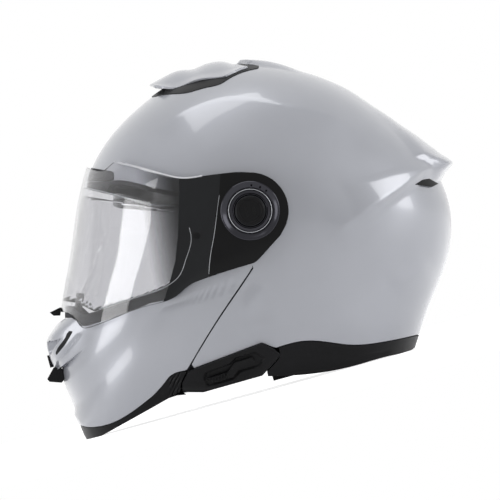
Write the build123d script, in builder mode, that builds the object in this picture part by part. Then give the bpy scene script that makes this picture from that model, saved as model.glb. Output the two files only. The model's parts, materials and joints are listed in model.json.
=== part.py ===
"""Modular motorcycle helmet: a flip-up chin bar and a clear visor turn on one side-to-side axis.

The helmet stands on its chin and the rear of its bottom edge, facing -X, with +Z up and the
wearer's left side at -Y. The origin is under the middle of its bounding box, on the ground.
All sizes are millimetres. Outlines of the side view are named photograph pixels, brought into
the helmet's frame by side_point, so they scale with helmet_length.
"""

import os
from functools import cache
from math import cos, radians, sin

from build123d import *

os.makedirs("parts", exist_ok=True)

# Driving dimensions
helmet_length = 358.0
shell_half_width = 120.0
shell_wall = 3.4
seat_gap = 0.3
cut_overrun = 60.0
ground_level = 0.0

# The side photograph: the ground point under the middle, the pivot, the length and the tilt
ground_pixel = (282.7, 385.47)
pivot_pixel = (250.3, 211.3)
length_pixels = 447.2
stance_tilt = 15.4

# Chin bar hinges, from the shell outwards
plate_clearance = 2.2
hinge_plate_thickness = 2.2
hinge_plate_radius = 30.4
plate_flange_gap = 0.3
plate_flange_thickness = 3.2
ear_radius = 40.0
ear_clearance = 1.4
axle_radius = 12.0
axle_gap = 0.1
sun_pin_radius = 5.0
sun_pin_gap = 0.05
axle_outer_level = 127.2
ring_radius = 21.6
ring_lip_radius = 23.6
ring_lip_thickness = 1.4
ring_outer_level = 129.0
ring_round_share = 0.6
cap_radius = 11.8
cap_thickness = 2.2
cap_slot_width = 2.4
cap_slot_depth = 0.9
cap_slot_length = 17.0
axle_screw_radius = 2.5
axle_screw_length = 14.0
axle_screw_head_radius = 4.4
axle_screw_head = 2.2
plate_screw_radius = 1.5
plate_screw_end_level = 116.0
plate_screw_head_level = 105.0
plate_screw_head_radius = 2.8

# Visor
visor_gap = 1.0
visor_thickness = 2.0
visor_ear_radius = 30.4
antifog_gap = 0.3
antifog_thickness = 1.2
antifog_pin_radius = 2.5
antifog_pin_rise = 0.8
tab_half_width = 13.0

# Foam, cavity and comfort lining
wall_gap = 0.5
cavity_half_length = 108.0
cavity_half_width = 86.0
cavity_half_height = 106.0
cavity_middle = 28.0
cavity_level = 122.0
crown_pad_thickness = 7.0
crown_pad_level = 158.0
cheek_pad_inner = 60.0
cheek_pad_outer = 84.5
cheek_pad_front = -42.0
cheek_pad_rear = 44.0
cheek_pad_bottom = 34.0
cheek_pad_top = 118.0
cheek_pad_round = 9.0
neck_roll_thickness = 16.0
axle_pocket_radius = 17.0
axle_pocket_level = 103.0
neck_roll_front = 60.0
neck_roll_bottom = 24.0
neck_roll_top = 56.0

# Sun visor
sun_visor_radius = 110.6
sun_visor_half_width = 109.5
sun_visor_thickness = 2.0
sun_visor_clearance = 1.2
sun_ear_radius = 11.0

# Edge trims and chin bar parts
trim_thickness = 9.0
chin_wall = 4.0
chin_trim_thickness = 14.0
chin_liner_thickness = 19.0
chin_liner_clear_radius = 107.0
seal_rise = 0.5
seal_depth = 3.9
vent_cover_wall = 2.5
vent_lip_half_width = 24.0
vent_slot_half_width = 46.0
vent_slot_bridge = 13.0
vent_slot_bottom = 72.0
vent_slot_top = 84.0
vent_slot_reach = -100.0
vent_mesh_thickness = 1.2
deflector_half_width = 32.0
deflector_thickness = 2.4
deflector_inset = 9.0
curtain_half_width = 62.0
chin_slider_half_width = 9.0
chin_slider_travel = 5.0
chin_slider_rise = 2.0
chin_slider_gap = 0.4
chin_slider_bottom = 63.0
chin_slider_height = 10.0
chin_slider_depth = 1.6
button_half_width = 12.0
button_gap = 0.4
button_travel = 3.0
button_length = 6.0
button_height = 8.0
button_round = 1.5
hook_thickness = 3.0
hook_level = 101.0
striker_radius = 3.0
hook_pivot_radius = 2.0

# Top vent, crown cover and rear spoiler
vent_half_width = 34.0
vent_nose_half_width = 20.0
vent_base_thickness = 2.6
scoop_gap = 0.4
crown_cover_half_width = 30.0
crown_cover_tail_half_width = 16.0
mesh_inner_level = 20.0
spoiler_rise = 1.8
scoop_clearance = 1.0
crown_floor = 180.0

# Side pods and the sun visor slider
pod_rise = 3.2
pod_depth = 8.0
slider_gap = 0.9
slider_thickness = 2.4

# Chin straps and buckle
strap_width = 24.0
strap_thickness = 2.0
strap_middle = 8.0
strap_top = 46.0
strap_turn_height = 32.0
strap_bend_radius = 8.0
strap_anchor_level = 100.0
strap_bend_level = 90.0
strap_bend_height = 22.0
strap_low_level = 52.0
strap_low_height = 11.0
strap_end_height = 10.0
rivet_radius = 4.0
rivet_head_radius = 5.5
rivet_head = 1.5
rivet_reach = 14.0
rivet_height = 41.0
receiver_length = 34.0
receiver_width = 28.0
receiver_height = 9.0
receiver_wall = 1.8
buckle_tab_width = 16.0
buckle_tab_thickness = 2.6
tab_reach = 10.0
lever_gap = 0.4
lever_height = 4.0
lever_length = 26.0
lever_width = 14.0
lever_pin_radius = 1.5
lever_pin_share = -0.32
lever_round_share = 0.4

# Round body of the shell about the pivot axis: the angle from the rear over the crown, the
# radius as a share of helmet_length, and the exponent that makes the section full or slack
shell_profile_shares = (
    (0, 0.416, 2.3), (15, 0.377, 2.3), (30, 0.3505, 2.25), (45, 0.3365, 2.2), (60, 0.3295, 2.2),
    (75, 0.3275, 2.2), (90, 0.3275, 2.2), (105, 0.331, 2.2), (120, 0.3385, 2.2), (135, 0.352, 2.2),
    (150, 0.367, 2.2), (165, 0.380, 2.25), (180, 0.420, 2.35), (192, 0.467, 2.45), (200, 0.511, 2.5),
    (206.6, 0.5615, 2.5), (212.7, 0.588, 2.5), (217.4, 0.620, 2.5), (226, 0.6425, 2.5),
    (240, 0.637, 2.5), (255, 0.6145, 2.5), (270, 0.595, 2.5), (285, 0.559, 2.5), (300, 0.497, 2.45),
    (315, 0.455, 2.4), (330, 0.4525, 2.35), (345, 0.447, 2.3),
)

# Visor and hinge plates
visor_profile_shares = (
    (0, 0.4245, 2.5), (15, 0.416, 2.45), (30, 0.408, 2.42), (45, 0.402, 2.4), (60, 0.3965, 2.35),
    (75, 0.391, 2.33), (90, 0.3855, 2.3), (105, 0.3825, 2.3), (120, 0.380, 2.25), (135, 0.3785, 2.2),
    (150, 0.379, 2.2), (165, 0.389, 2.25), (180, 0.4195, 2.35), (192, 0.4765, 2.45), (200, 0.5305, 2.5),
    (210, 0.606, 2.5), (225, 0.631, 2.5), (240, 0.609, 2.5), (255, 0.5755, 2.5), (270, 0.5475, 2.5),
    (285, 0.5195, 2.5), (300, 0.4915, 2.5), (315, 0.469, 2.5), (330, 0.4495, 2.5), (345, 0.4355, 2.5),
)

# Chin vent cover, proud of the chin bar in the middle
cover_profile_shares = (
    (0, 0.416, 2.3), (30, 0.352, 2.3), (60, 0.335, 2.3), (90, 0.335, 2.3), (120, 0.345, 2.3),
    (150, 0.40, 2.3), (180, 0.49, 2.4), (192, 0.528, 2.4), (200, 0.5535, 2.4), (206.6, 0.574, 2.4),
    (212.7, 0.592, 2.4), (217.4, 0.620, 2.5), (226, 0.6425, 2.5), (240, 0.637, 2.5), (270, 0.595, 2.5),
    (300, 0.497, 2.45), (330, 0.4525, 2.35),
)

# Rear spoiler, which leaves the shell over the crown and ends in a lip
spoiler_profile_shares = (
    (1.3, 0.4445, 2.3), (5.4, 0.4225, 2.3), (14.3, 0.388, 2.3), (24, 0.365, 2.3), (34.8, 0.351, 2.25),
    (45, 0.3415, 2.2), (60, 0.3345, 2.2), (90, 0.3325, 2.2), (120, 0.344, 2.2), (150, 0.373, 2.2),
    (180, 0.44, 2.35), (210, 0.585, 2.5), (240, 0.643, 2.5), (270, 0.601, 2.5), (300, 0.503, 2.45),
    (320, 0.462, 2.4), (335, 0.4585, 2.3), (345, 0.460, 2.3), (352, 0.4645, 2.3), (357.5, 0.468, 2.3),
)

# Stations of the side-view sections, as shares of the half width
station_shares = (0.25, 0.48, 0.68, 0.83, 0.92, 0.965, 0.985, 0.997)

# Side-view outlines in photograph pixels: a run of two points is a straight edge, more a curve
frame_corners = ((419, 334), (480, 326), (480, 30), (40, 30))
spoiler_front_run = ((345, 60), (352, 96), (366, 126), (381, 158), (395, 185))
spoiler_low_run = ((395, 185), (410, 177.5), (424, 174.8), (443, 181.6))
spoiler_corners = ((443, 181.6), (470, 190), (470, 60), (345, 60))
mesh_pixels = ((410, 179.4), (424, 176.6), (438, 184), (432, 187), (413, 185))
vent_nose_pixel, vent_tail_pixel, vent_shoulder_pixel = (152.6, 96.6), (259, 67.9), (193, 80)
scoop_nose_pixel, scoop_tail_pixel = (149.9, 85.3), (232.8, 63.8)
scoop_top_run = ((149.9, 85.3), (181.8, 70), (193, 69.2), (212, 63), (223, 61.9), (233.6, 63.9))
scoop_low_pixels = ((233.6, 63.9), (236, 78), (201, 86), (172, 92), (150.4, 87), (149.9, 85.3))
cover_top_run = ((235.2, 60.2), (245.7, 60.2), (272.4, 62.6), (296, 68.4))
cover_low_pixels = ((296, 68.4), (300, 84), (240, 90), (235.2, 60.2))
sun_zone_pixels = ((270, 262), (270, 225), (262, 190), (195, 60), (190, 20), (30, 20), (30, 300), (240, 300))
sun_visor_pixels = ((243, 218), (118, 208), (96, 196), (60, 186), (60, 100), (150, 90), (168, 130),
                    (256, 203))
foam_brow_run = ((40, 172.5), (84, 172.5), (104, 173), (118, 171.5), (150, 177.5), (180, 183.5), (222, 192))
foam_seam_run = ((262, 262), (251, 281), (227, 318), (212, 341))
foam_bottom_pixels = ((262, 329), (292, 317.5), (306, 327), (350, 331), (400, 325), (419, 322), (480, 314),
                      (480, 30), (40, 30))
base_trim_end_pixels = ((420, 334.9), (427, 335), (422.6, 342), (411, 350.2), (398, 353.7))
base_trim_front_pixels = ((263, 375.3), (282, 354.4), (275.6, 347.9))
pod_pixels = ((189, 370.6), (262, 342.8), (274.6, 348.6), (281, 354), (262.4, 374.6), (204, 391.2),
              (186, 391), (183.2, 390), (183, 382.4))
slider_pixels = ((206, 378.4), (228, 371.4), (235, 361.8), (252, 356.4), (255.5, 361), (240, 366.6),
                 (233, 376), (208.5, 383.8))
chin_corners = ((20, 412), (20, 318))
chin_liner_pixels = ((30, 331), (84, 335), (91, 334), (150, 313), (190, 294), (214, 286), (190, 324),
                     (166, 344), (160, 370), (150, 386), (95, 414), (30, 418))
trim_low_pixels = ((50, 445), (96, 438), (104.4, 434), (150, 408.3), (180.8, 390.6), (181.5, 382))
button_pixel = (97.5, 423.5)
hook_pivot_pixel = (172, 352)
hook_pixels = ((167, 347), (176, 346), (182, 352), (203, 357.6), (203, 361.4), (178, 358.5), (167, 357))
striker_pixel = (203.5, 352.5)
plate_pixels = ((252, 174.2), (225, 174.6), (216, 176.4), (219.4, 199.4), (215.6, 216.8), (212.4, 245),
                (209.8, 274.9), (254.5, 260.5), (255.5, 247))
web_pixels = ((217.6, 266.8), (243, 258.9), (243, 263.6), (217.6, 271.4))
flange_pixels = ((218.6, 268), (242, 260.6), (238, 273), (219, 281.4))
plate_screw_pixels = ((223.6, 275.8), (233.2, 271.8))
cover_front_pixel = (47, 345.4)
cover_pixels = ((60.6, 320.7), (47.8, 339), (47, 345.4), (52.6, 364.5), (64, 367), (83, 332.5), (78, 326.5),
                (72, 321.5))
cover_pocket_pixels = ((63, 326.5), (52, 341), (51.5, 346), (56, 360.5), (63, 361.5), (78, 334.5), (74, 327))
cover_slot_pixels = ((66.4, 332.4), (72.6, 331.6), (58.6, 353), (48, 353), (48, 346))
chin_mesh_pixels = ((65, 329.5), (56, 345), (58, 357), (62.5, 358.5), (75.5, 335), (72.5, 329.5))
vent_lip_pixels = ((54, 367.6), (47.8, 378.9), (50, 381.6), (62, 382.5), (72, 370.4))
deflector_pixels = ((50, 293), (100, 293), (100, 329), (50, 329))
foot_pixels = ((50, 323.5), (100, 323.5), (100, 329), (50, 329))
curtain_pixels = ((108, 418.6), (148, 396), (149.6, 399.4), (109.6, 422))
visor_front_pixels = ((40, 160), (40, 312))
visor_rear_pixels = ((257.2, 261.2), (280.6, 235.2), (287, 222.5))
antifog_rear_run = ((187, 213), (190, 228), (192, 238), (186.5, 260), (180, 276), (170, 284.6))
antifog_pixels = ((170, 284.6), (150, 293), (96, 311), (80, 303), (40, 298), (40, 189), (187, 213))
antifog_pin_pixel = (196.8, 236)
visor_tab_pixels = ((50, 312.6), (60, 307.6), (70, 309), (66, 315.4), (54, 315.8))
seal_end_pixels = ((192, 272.6), (177, 285))
seal_gap_pixels = 0.5
seal_pixels = 4.6
window_seal_pixels = 8.0
brow_run = ((40, 182), (84, 182), (104, 182.5), (118, 181), (150, 187), (180, 193), (222, 202))
shell_seam_run = ((257, 262.8), (245.4, 280.6), (219.8, 318.2), (188.7, 369.3))
pod_top_run = ((188.7, 369.3), (262, 341.5), (275, 347))
shell_bottom_run = ((275, 347), (303, 340), (323.8, 340.6), (349.3, 343.8), (381, 341.4), (400, 338))
chin_top_run = ((40, 318), (58, 319.5), (76, 319.5), (84.5, 325.8), (91, 325), (150, 303.5))
chin_shoulder_run = ((150, 303.5), (177, 294), (190, 283), (199, 279.3))
chin_seam_run = ((256, 262), (244, 280), (218.6, 317.5), (187.5, 369))
chin_bottom_run = ((187.5, 369), (170.6, 375), (165.6, 381.2), (154.4, 393.9))
chin_nose_run = ((154.4, 393.9), (95, 426.2), (86, 426), (60, 412))
trim_nose_run = ((154.6, 394.4), (95, 426.8), (86, 426.6), (60, 412.6))
base_trim_top_run = ((275.6, 347.9), (303, 340.8), (323.8, 341.4), (349.3, 344.6), (381, 342.2),
                     (400, 338.8), (420, 334.9))
base_trim_low_run = ((398, 353.7), (389, 355.4), (355.7, 364.5), (323.8, 371.2), (290, 374.6), (263, 375.3))
visor_top_run = ((250.3, 173.3), (240, 172.8), (225, 174), (205, 176.5), (185, 179), (165, 175.5),
                 (140, 169.5), (115, 162.5), (104, 171), (86, 166.8))
visor_low_run = ((62, 312), (70, 313), (78, 321.6), (84, 327.6), (91, 326.6), (150, 305.2), (177, 296),
                 (190, 285), (199, 280.8), (254, 263))


def side_point(column, row):
    """A photograph pixel as (x, z) in the helmet's frame, turned to stand on the ground."""
    tilt = radians(stance_tilt)
    across = column - ground_pixel[0]
    up = ground_pixel[1] - row
    size = helmet_length / length_pixels
    return (size * (across * cos(tilt) + up * sin(tilt)), size * (up * cos(tilt) - across * sin(tilt)))


pivot = side_point(*pivot_pixel)
full_span = shell_half_width + cut_overrun


@cache
def dome(profile_shares, half_width, inset):
    """A closed round body about the pivot axis, lofted through side-view sections from cheek to cheek."""
    stations = [-share for share in reversed(station_shares)] + [0] + list(station_shares)
    with BuildPart() as body:
        for station in stations:
            with BuildSketch(Plane.XZ.offset(-station * (half_width - inset))):
                with BuildLine():
                    ring = []
                    for angle, radius_share, fullness in profile_shares:
                        radius = (radius_share * helmet_length - inset)
                        radius *= (1 - abs(station) ** fullness) ** (1 / fullness)
                        ring.append((pivot[0] + radius * cos(radians(angle)),
                                     pivot[1] + radius * sin(radians(angle))))
                    Spline(*ring, periodic=True)
                make_face()
        loft()
    return body.part


plate_half_width = shell_half_width + plate_clearance + hinge_plate_thickness
visor_half_width = plate_half_width + visor_gap + visor_thickness


def shell_dome(inset):
    """The shell's outer surface, moved inwards by inset."""
    return dome(shell_profile_shares, shell_half_width, inset)


def visor_dome(inset):
    """The visor's outer surface, moved inwards by inset."""
    return dome(visor_profile_shares, visor_half_width, inset)


def side_prism(*runs, inner_level=None, outer_level=None):
    """A block across the helmet, or between two levels of its left side, with a side-view outline."""
    start = -full_span if inner_level is None else inner_level
    end = full_span if outer_level is None else outer_level
    with BuildPart() as block:
        with BuildSketch(Plane.XZ.offset(start)):
            with BuildLine():
                for run in runs:
                    points = [side_point(*pixel) for pixel in run]
                    if len(points) == 2:
                        Line(*points)
                    else:
                        Spline(*points)
            make_face()
        extrude(amount=end - start)
    return block.part


def side_polygon(*pixels, inner_level=None, outer_level=None):
    """A block across the helmet, or between two levels of its left side, with straight edges."""
    edges = [(pixels[i - 1], pixels[i]) for i in range(len(pixels))]
    return side_prism(*edges, inner_level=inner_level, outer_level=outer_level)


def pivot_disc(radius, inner_level, outer_level):
    """A disc about the pivot axis on the left side, between two distances from the middle."""
    with BuildPart() as disc:
        with BuildSketch(Plane.XZ.offset(inner_level)):
            with Locations(pivot):
                Circle(radius)
        extrude(amount=outer_level - inner_level)
    return disc.part


def save(piece, name):
    """Label a finished piece and write its file."""
    piece.label = name
    export_step(piece, f"parts/{name}.step")


def save_pair(left_piece, name):
    """Write a left-hand piece and its mirror image on the right."""
    with BuildPart() as right:
        mirror(left_piece, about=Plane.XZ)
    save(left_piece, f"{name}_left")
    save(right.part, f"{name}_right")


def straight_runs(*pixels):
    """The straight edges that join a row of pixels."""
    return [(pixels[i], pixels[i + 1]) for i in range(len(pixels) - 1)]


def shifted(run, down):
    """A run of pixels moved down the photograph."""
    return tuple((column, row + down) for column, row in run)


def turned(run):
    """A run of pixels in reverse order."""
    return tuple(reversed(run))


def side_rod(pixel, radius, inner_level, outer_level):
    """A round rod across the left side at a photograph pixel, between two distances from the middle."""
    with BuildPart() as rod:
        with BuildSketch(Plane.XZ.offset(inner_level)):
            with Locations(side_point(*pixel)):
                Circle(radius)
        extrude(amount=outer_level - inner_level)
    return rod.part


def block(low, high):
    """A straight block between two corners."""
    size = [high[i] - low[i] for i in range(3)]
    with BuildPart() as solid:
        with BuildSketch(Plane.XY.offset(low[2])):
            with Locations(((low[0] + high[0]) / 2, (low[1] + high[1]) / 2)):
                Rectangle(size[0], size[1])
        extrude(amount=size[2])
    return solid.part


def both_sides(left_piece):
    """A left-hand piece and its mirror image, as one group."""
    with BuildPart() as group:
        add(left_piece)
        mirror(left_piece, about=Plane.XZ)
    return group.part


above_ground = block((-helmet_length, -full_span, ground_level), (helmet_length, full_span, helmet_length))
hinge_plate_inset = visor_gap + visor_thickness
axle_hole_radius = axle_radius + axle_gap
sun_inner_level = sun_visor_half_width - sun_visor_thickness - sun_visor_clearance
axle_shoulder_level = sun_visor_half_width + sun_pin_gap + seat_gap

# Outer shell, with the round ears that the chin bar's hinges turn on
shell_side = side_prism(
    brow_run,
    *straight_runs(brow_run[-1], shell_seam_run[0]),
    shell_seam_run,
    *straight_runs(*pod_top_run),
    shell_bottom_run,
    *straight_runs(shell_bottom_run[-1], *frame_corners, brow_run[0]),
)
ear_discs = pivot_disc(ear_radius, -full_span, full_span)
shell_outline = shell_side + ear_discs
with BuildPart() as outer_shell:
    add(shell_dome(0))
    add(shell_dome(shell_wall), mode=Mode.SUBTRACT)
    add(shell_outline, mode=Mode.INTERSECT)
    add(pivot_disc(axle_hole_radius, -full_span, full_span), mode=Mode.SUBTRACT)
save(outer_shell.part, "outer_shell")

# Rear spoiler: a wing that leaves the crown and overhangs the back
with BuildPart() as rear_spoiler:
    add(dome(spoiler_profile_shares, shell_half_width + spoiler_rise, 0))
    add(shell_dome(-wall_gap), mode=Mode.SUBTRACT)
    add(side_prism(spoiler_front_run, spoiler_low_run, *straight_runs(*spoiler_corners)),
        mode=Mode.INTERSECT)
save(rear_spoiler.part, "rear_spoiler")

# Exhaust meshes under the wing
with BuildPart() as exhaust_mesh:
    add(shell_dome(-seat_gap - vent_mesh_thickness))
    add(shell_dome(-seat_gap), mode=Mode.SUBTRACT)
    add(side_polygon(*mesh_pixels, inner_level=mesh_inner_level, outer_level=full_span), mode=Mode.INTERSECT)
save_pair(exhaust_mesh.part, "exhaust_mesh")

# Top vent: a plate on the crown, the scoop that slides over it and the cover behind them
vent_nose, vent_tail = side_point(*vent_nose_pixel)[0], side_point(*vent_tail_pixel)[0]
scoop_nose, scoop_tail = side_point(*scoop_nose_pixel)[0], side_point(*scoop_tail_pixel)[0]


def plan_block(*corners):
    """An upright block with the given half outline on the left, mirrored to the right."""
    outline = [(x, -y) for x, y in corners] + [(x, y) for x, y in reversed(corners)]
    with BuildPart() as solid:
        with BuildSketch(Plane.XY.offset(crown_floor)):
            with BuildLine():
                Polyline(*outline, close=True)
            make_face()
        extrude(amount=helmet_length)
    return solid.part


with BuildPart() as top_vent_base:
    add(shell_dome(-seat_gap - vent_base_thickness))
    add(shell_dome(-seat_gap), mode=Mode.SUBTRACT)
    add(
        plan_block(
            (vent_nose, vent_nose_half_width),
            (side_point(*vent_shoulder_pixel)[0], vent_half_width),
            (vent_tail, crown_cover_half_width),
        ),
        mode=Mode.INTERSECT,
    )
    add(plan_block((scoop_tail + scoop_gap, crown_cover_half_width + seat_gap), (vent_tail + cut_overrun,
        crown_cover_half_width + seat_gap)), mode=Mode.SUBTRACT)
save(top_vent_base.part, "top_vent_base")

with BuildPart() as top_vent_scoop:
    add(side_prism(scoop_top_run, *straight_runs(*scoop_low_pixels)))
    add(
        plan_block(
            (scoop_nose, vent_nose_half_width - scoop_gap),
            (side_point(*vent_shoulder_pixel)[0], vent_half_width - scoop_gap),
            (scoop_tail, crown_cover_half_width),
        ),
        mode=Mode.INTERSECT,
    )
    add(shell_dome(-seat_gap - vent_base_thickness - scoop_clearance), mode=Mode.SUBTRACT)
save(top_vent_scoop.part, "top_vent_scoop")

with BuildPart() as crown_cover:
    add(side_prism(cover_top_run, *straight_runs(*cover_low_pixels)))
    add(
        plan_block(
            (side_point(*cover_top_run[0])[0], crown_cover_half_width),
            (side_point(*cover_top_run[-1])[0], crown_cover_tail_half_width),
        ),
        mode=Mode.INTERSECT,
    )
    add(shell_dome(-seat_gap), mode=Mode.SUBTRACT)
save(crown_cover.part, "crown_cover")

# Rubber seal under the brow
with BuildPart() as eyeport_seal:
    add(shell_dome(-seal_rise))
    add(shell_dome(seal_depth), mode=Mode.SUBTRACT)
    add(
        side_prism(
            shifted(brow_run, seal_gap_pixels),
            *straight_runs(shifted(brow_run, seal_gap_pixels)[-1], shifted(brow_run, seal_pixels)[-1]),
            turned(shifted(brow_run, seal_pixels)),
            *straight_runs(shifted(brow_run, seal_pixels)[0], shifted(brow_run, seal_gap_pixels)[0]),
        ),
        mode=Mode.INTERSECT,
    )
    add(pivot_disc(ear_radius + seat_gap, -full_span, full_span), mode=Mode.SUBTRACT)
save(eyeport_seal.part, "eyeport_seal")

# Head cavity: a half ellipsoid over an upright tube


def cavity(inset):
    """The space for the head, made smaller all round by inset."""
    half_length = cavity_half_length - inset
    half_width = cavity_half_width - inset
    with BuildPart() as space:
        Sphere(half_width)
        scale(by=(half_length / half_width, 1, (cavity_half_height - inset) / half_width), mode=Mode.REPLACE)
        with BuildSketch(Plane.XY):
            Ellipse(half_length, half_width)
        extrude(amount=-cavity_level - cut_overrun)
    return space.part.moved(Location((cavity_middle, 0, cavity_level)))


sun_profile_shares = tuple((angle, sun_visor_radius / helmet_length, 2.2) for angle in range(0, 360, 15))
with BuildPart() as sun_slot:
    add(side_polygon(*sun_zone_pixels))
    add(dome(sun_profile_shares, sun_visor_half_width, sun_visor_thickness + sun_visor_clearance),
        mode=Mode.SUBTRACT)

# Foam liner
foam_side = side_prism(
    foam_brow_run,
    *straight_runs(foam_brow_run[-1], foam_seam_run[0]),
    foam_seam_run,
    *straight_runs(foam_seam_run[-1], *foam_bottom_pixels, foam_brow_run[0]),
)
foam_outline = foam_side + pivot_disc(ear_radius - shell_wall, -full_span, full_span)
with BuildPart() as foam_liner:
    add(shell_dome(shell_wall + wall_gap))
    add(cavity(0), mode=Mode.SUBTRACT)
    add(foam_outline, mode=Mode.INTERSECT)
    add(sun_slot.part, mode=Mode.SUBTRACT)
    add(pivot_disc(axle_pocket_radius, axle_pocket_level, full_span), mode=Mode.SUBTRACT)
    add(pivot_disc(axle_pocket_radius, -full_span, -axle_pocket_level), mode=Mode.SUBTRACT)
save(foam_liner.part, "foam_liner")

# Comfort lining
with BuildPart() as crown_pad:
    add(cavity(seat_gap))
    add(cavity(crown_pad_thickness), mode=Mode.SUBTRACT)
    add(block((-helmet_length, -full_span, crown_pad_level), (helmet_length, full_span, helmet_length)),
        mode=Mode.INTERSECT)
    add(foam_side, mode=Mode.INTERSECT)
save(crown_pad.part, "crown_pad")

with BuildPart() as cheek_pad:
    add(block((cheek_pad_front, -cheek_pad_outer, cheek_pad_bottom),
              (cheek_pad_rear, -cheek_pad_inner, cheek_pad_top)))
    fillet(cheek_pad.edges().filter_by(Axis.Y), cheek_pad_round)
    add(cavity(seat_gap), mode=Mode.INTERSECT)
save_pair(cheek_pad.part, "cheek_pad")

with BuildPart() as neck_roll:
    add(cavity(seat_gap))
    add(cavity(neck_roll_thickness), mode=Mode.SUBTRACT)
    add(block((neck_roll_front, -full_span, neck_roll_bottom), (helmet_length, full_span, neck_roll_top)),
        mode=Mode.INTERSECT)
    add(shell_dome(shell_wall + wall_gap), mode=Mode.INTERSECT)
save(neck_roll.part, "neck_roll")

# Base trim round the back of the bottom edge, flat where it stands
with BuildPart() as base_trim:
    add(shell_dome(0))
    add(shell_dome(trim_thickness), mode=Mode.SUBTRACT)
    add(side_prism(base_trim_top_run, *straight_runs(*base_trim_end_pixels), base_trim_low_run,
                   *straight_runs(*base_trim_front_pixels)), mode=Mode.INTERSECT)
    add(above_ground, mode=Mode.INTERSECT)
save(base_trim.part, "base_trim")

# Side pods
with BuildPart() as side_pod:
    add(shell_dome(-pod_rise))
    add(shell_dome(pod_depth), mode=Mode.SUBTRACT)
    add(side_polygon(*pod_pixels, inner_level=0, outer_level=full_span), mode=Mode.INTERSECT)
save_pair(side_pod.part, "side_pod")

# Sun visor with its two ears, its slider on the left pod
sun_side = side_polygon(*sun_visor_pixels)
sun_outline = sun_side + pivot_disc(sun_ear_radius, -full_span, full_span)
with BuildPart() as sun_visor:
    add(dome(sun_profile_shares, sun_visor_half_width, 0))
    add(dome(sun_profile_shares, sun_visor_half_width, sun_visor_thickness), mode=Mode.SUBTRACT)
    add(sun_outline, mode=Mode.INTERSECT)
    add(pivot_disc(sun_pin_radius + sun_pin_gap, -full_span, full_span), mode=Mode.SUBTRACT)
save(sun_visor.part, "sun_visor")

with BuildPart() as sun_visor_slider:
    add(shell_dome(-pod_rise - slider_gap - slider_thickness))
    add(shell_dome(-pod_rise - slider_gap), mode=Mode.SUBTRACT)
    add(side_polygon(*slider_pixels, inner_level=0, outer_level=full_span), mode=Mode.INTERSECT)
save(sun_visor_slider.part, "sun_visor_slider")

# Pivot axles, caps and screws
with BuildPart() as pivot_axle:
    add(pivot_disc(axle_radius, axle_shoulder_level, axle_outer_level))
    add(pivot_disc(sun_pin_radius, sun_inner_level + seat_gap, axle_shoulder_level))
    add(pivot_disc(axle_screw_radius, 0, sun_inner_level + axle_screw_length), mode=Mode.SUBTRACT)
save_pair(pivot_axle.part, "pivot_axle")

with BuildPart() as axle_screw:
    add(pivot_disc(axle_screw_radius, sun_inner_level, sun_inner_level + axle_screw_length))
    add(pivot_disc(axle_screw_head_radius, sun_inner_level + seat_gap - axle_screw_head,
                   sun_inner_level + seat_gap))
save(both_sides(axle_screw.part), "axle_screws")

with BuildPart() as pivot_cap:
    add(pivot_disc(cap_radius, axle_outer_level, axle_outer_level + cap_thickness))
    with BuildSketch(Plane.XZ.offset(axle_outer_level + cap_thickness)):
        with Locations(pivot):
            SlotOverall(cap_slot_length, cap_slot_width)
    extrude(amount=-cap_slot_depth, mode=Mode.SUBTRACT)
save_pair(pivot_cap.part, "pivot_cap")

# Chin straps, rivets and the buckle between them
strap_left_end = -receiver_length / 2
strap_right_end = receiver_length / 2 + tab_reach


def strap(side, end_level):
    """One strap from its rivet down and in to the buckle, side -1 for left and 1 for right."""
    strap_plane = Plane.YZ.offset(strap_middle - strap_width / 2)
    with BuildPart() as band:
        with BuildSketch(strap_plane):
            with BuildLine():
                FilletPolyline(
                    (side * strap_anchor_level, strap_top),
                    (side * strap_anchor_level, strap_turn_height),
                    (side * strap_bend_level, strap_bend_height),
                    (side * strap_low_level, strap_low_height),
                    (end_level, strap_end_height),
                    radius=strap_bend_radius,
                )
            trace(line_width=strap_thickness)
        extrude(amount=strap_width)
        with BuildSketch(Plane.XZ):
            with Locations((strap_middle, rivet_height)):
                Circle(rivet_radius + seat_gap)
        extrude(amount=full_span, both=True, mode=Mode.SUBTRACT)
    return band.part


save(strap(-1, strap_left_end - seat_gap - strap_thickness / 2), "chin_strap_left")
save(strap(1, strap_right_end + seat_gap + strap_thickness / 2), "chin_strap_right")

rivet_inner_level = strap_anchor_level - strap_thickness / 2 - seat_gap
with BuildPart() as strap_rivet:
    with BuildSketch(Plane.XZ.offset(rivet_inner_level - rivet_head)):
        with Locations((strap_middle, rivet_height)):
            Circle(rivet_head_radius)
    extrude(amount=rivet_head)
    with BuildSketch(Plane.XZ.offset(rivet_inner_level)):
        with Locations((strap_middle, rivet_height)):
            Circle(rivet_radius)
    extrude(amount=rivet_reach)
    add(shell_dome(shell_wall + seat_gap), mode=Mode.INTERSECT)
save(both_sides(strap_rivet.part), "strap_rivets")

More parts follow.
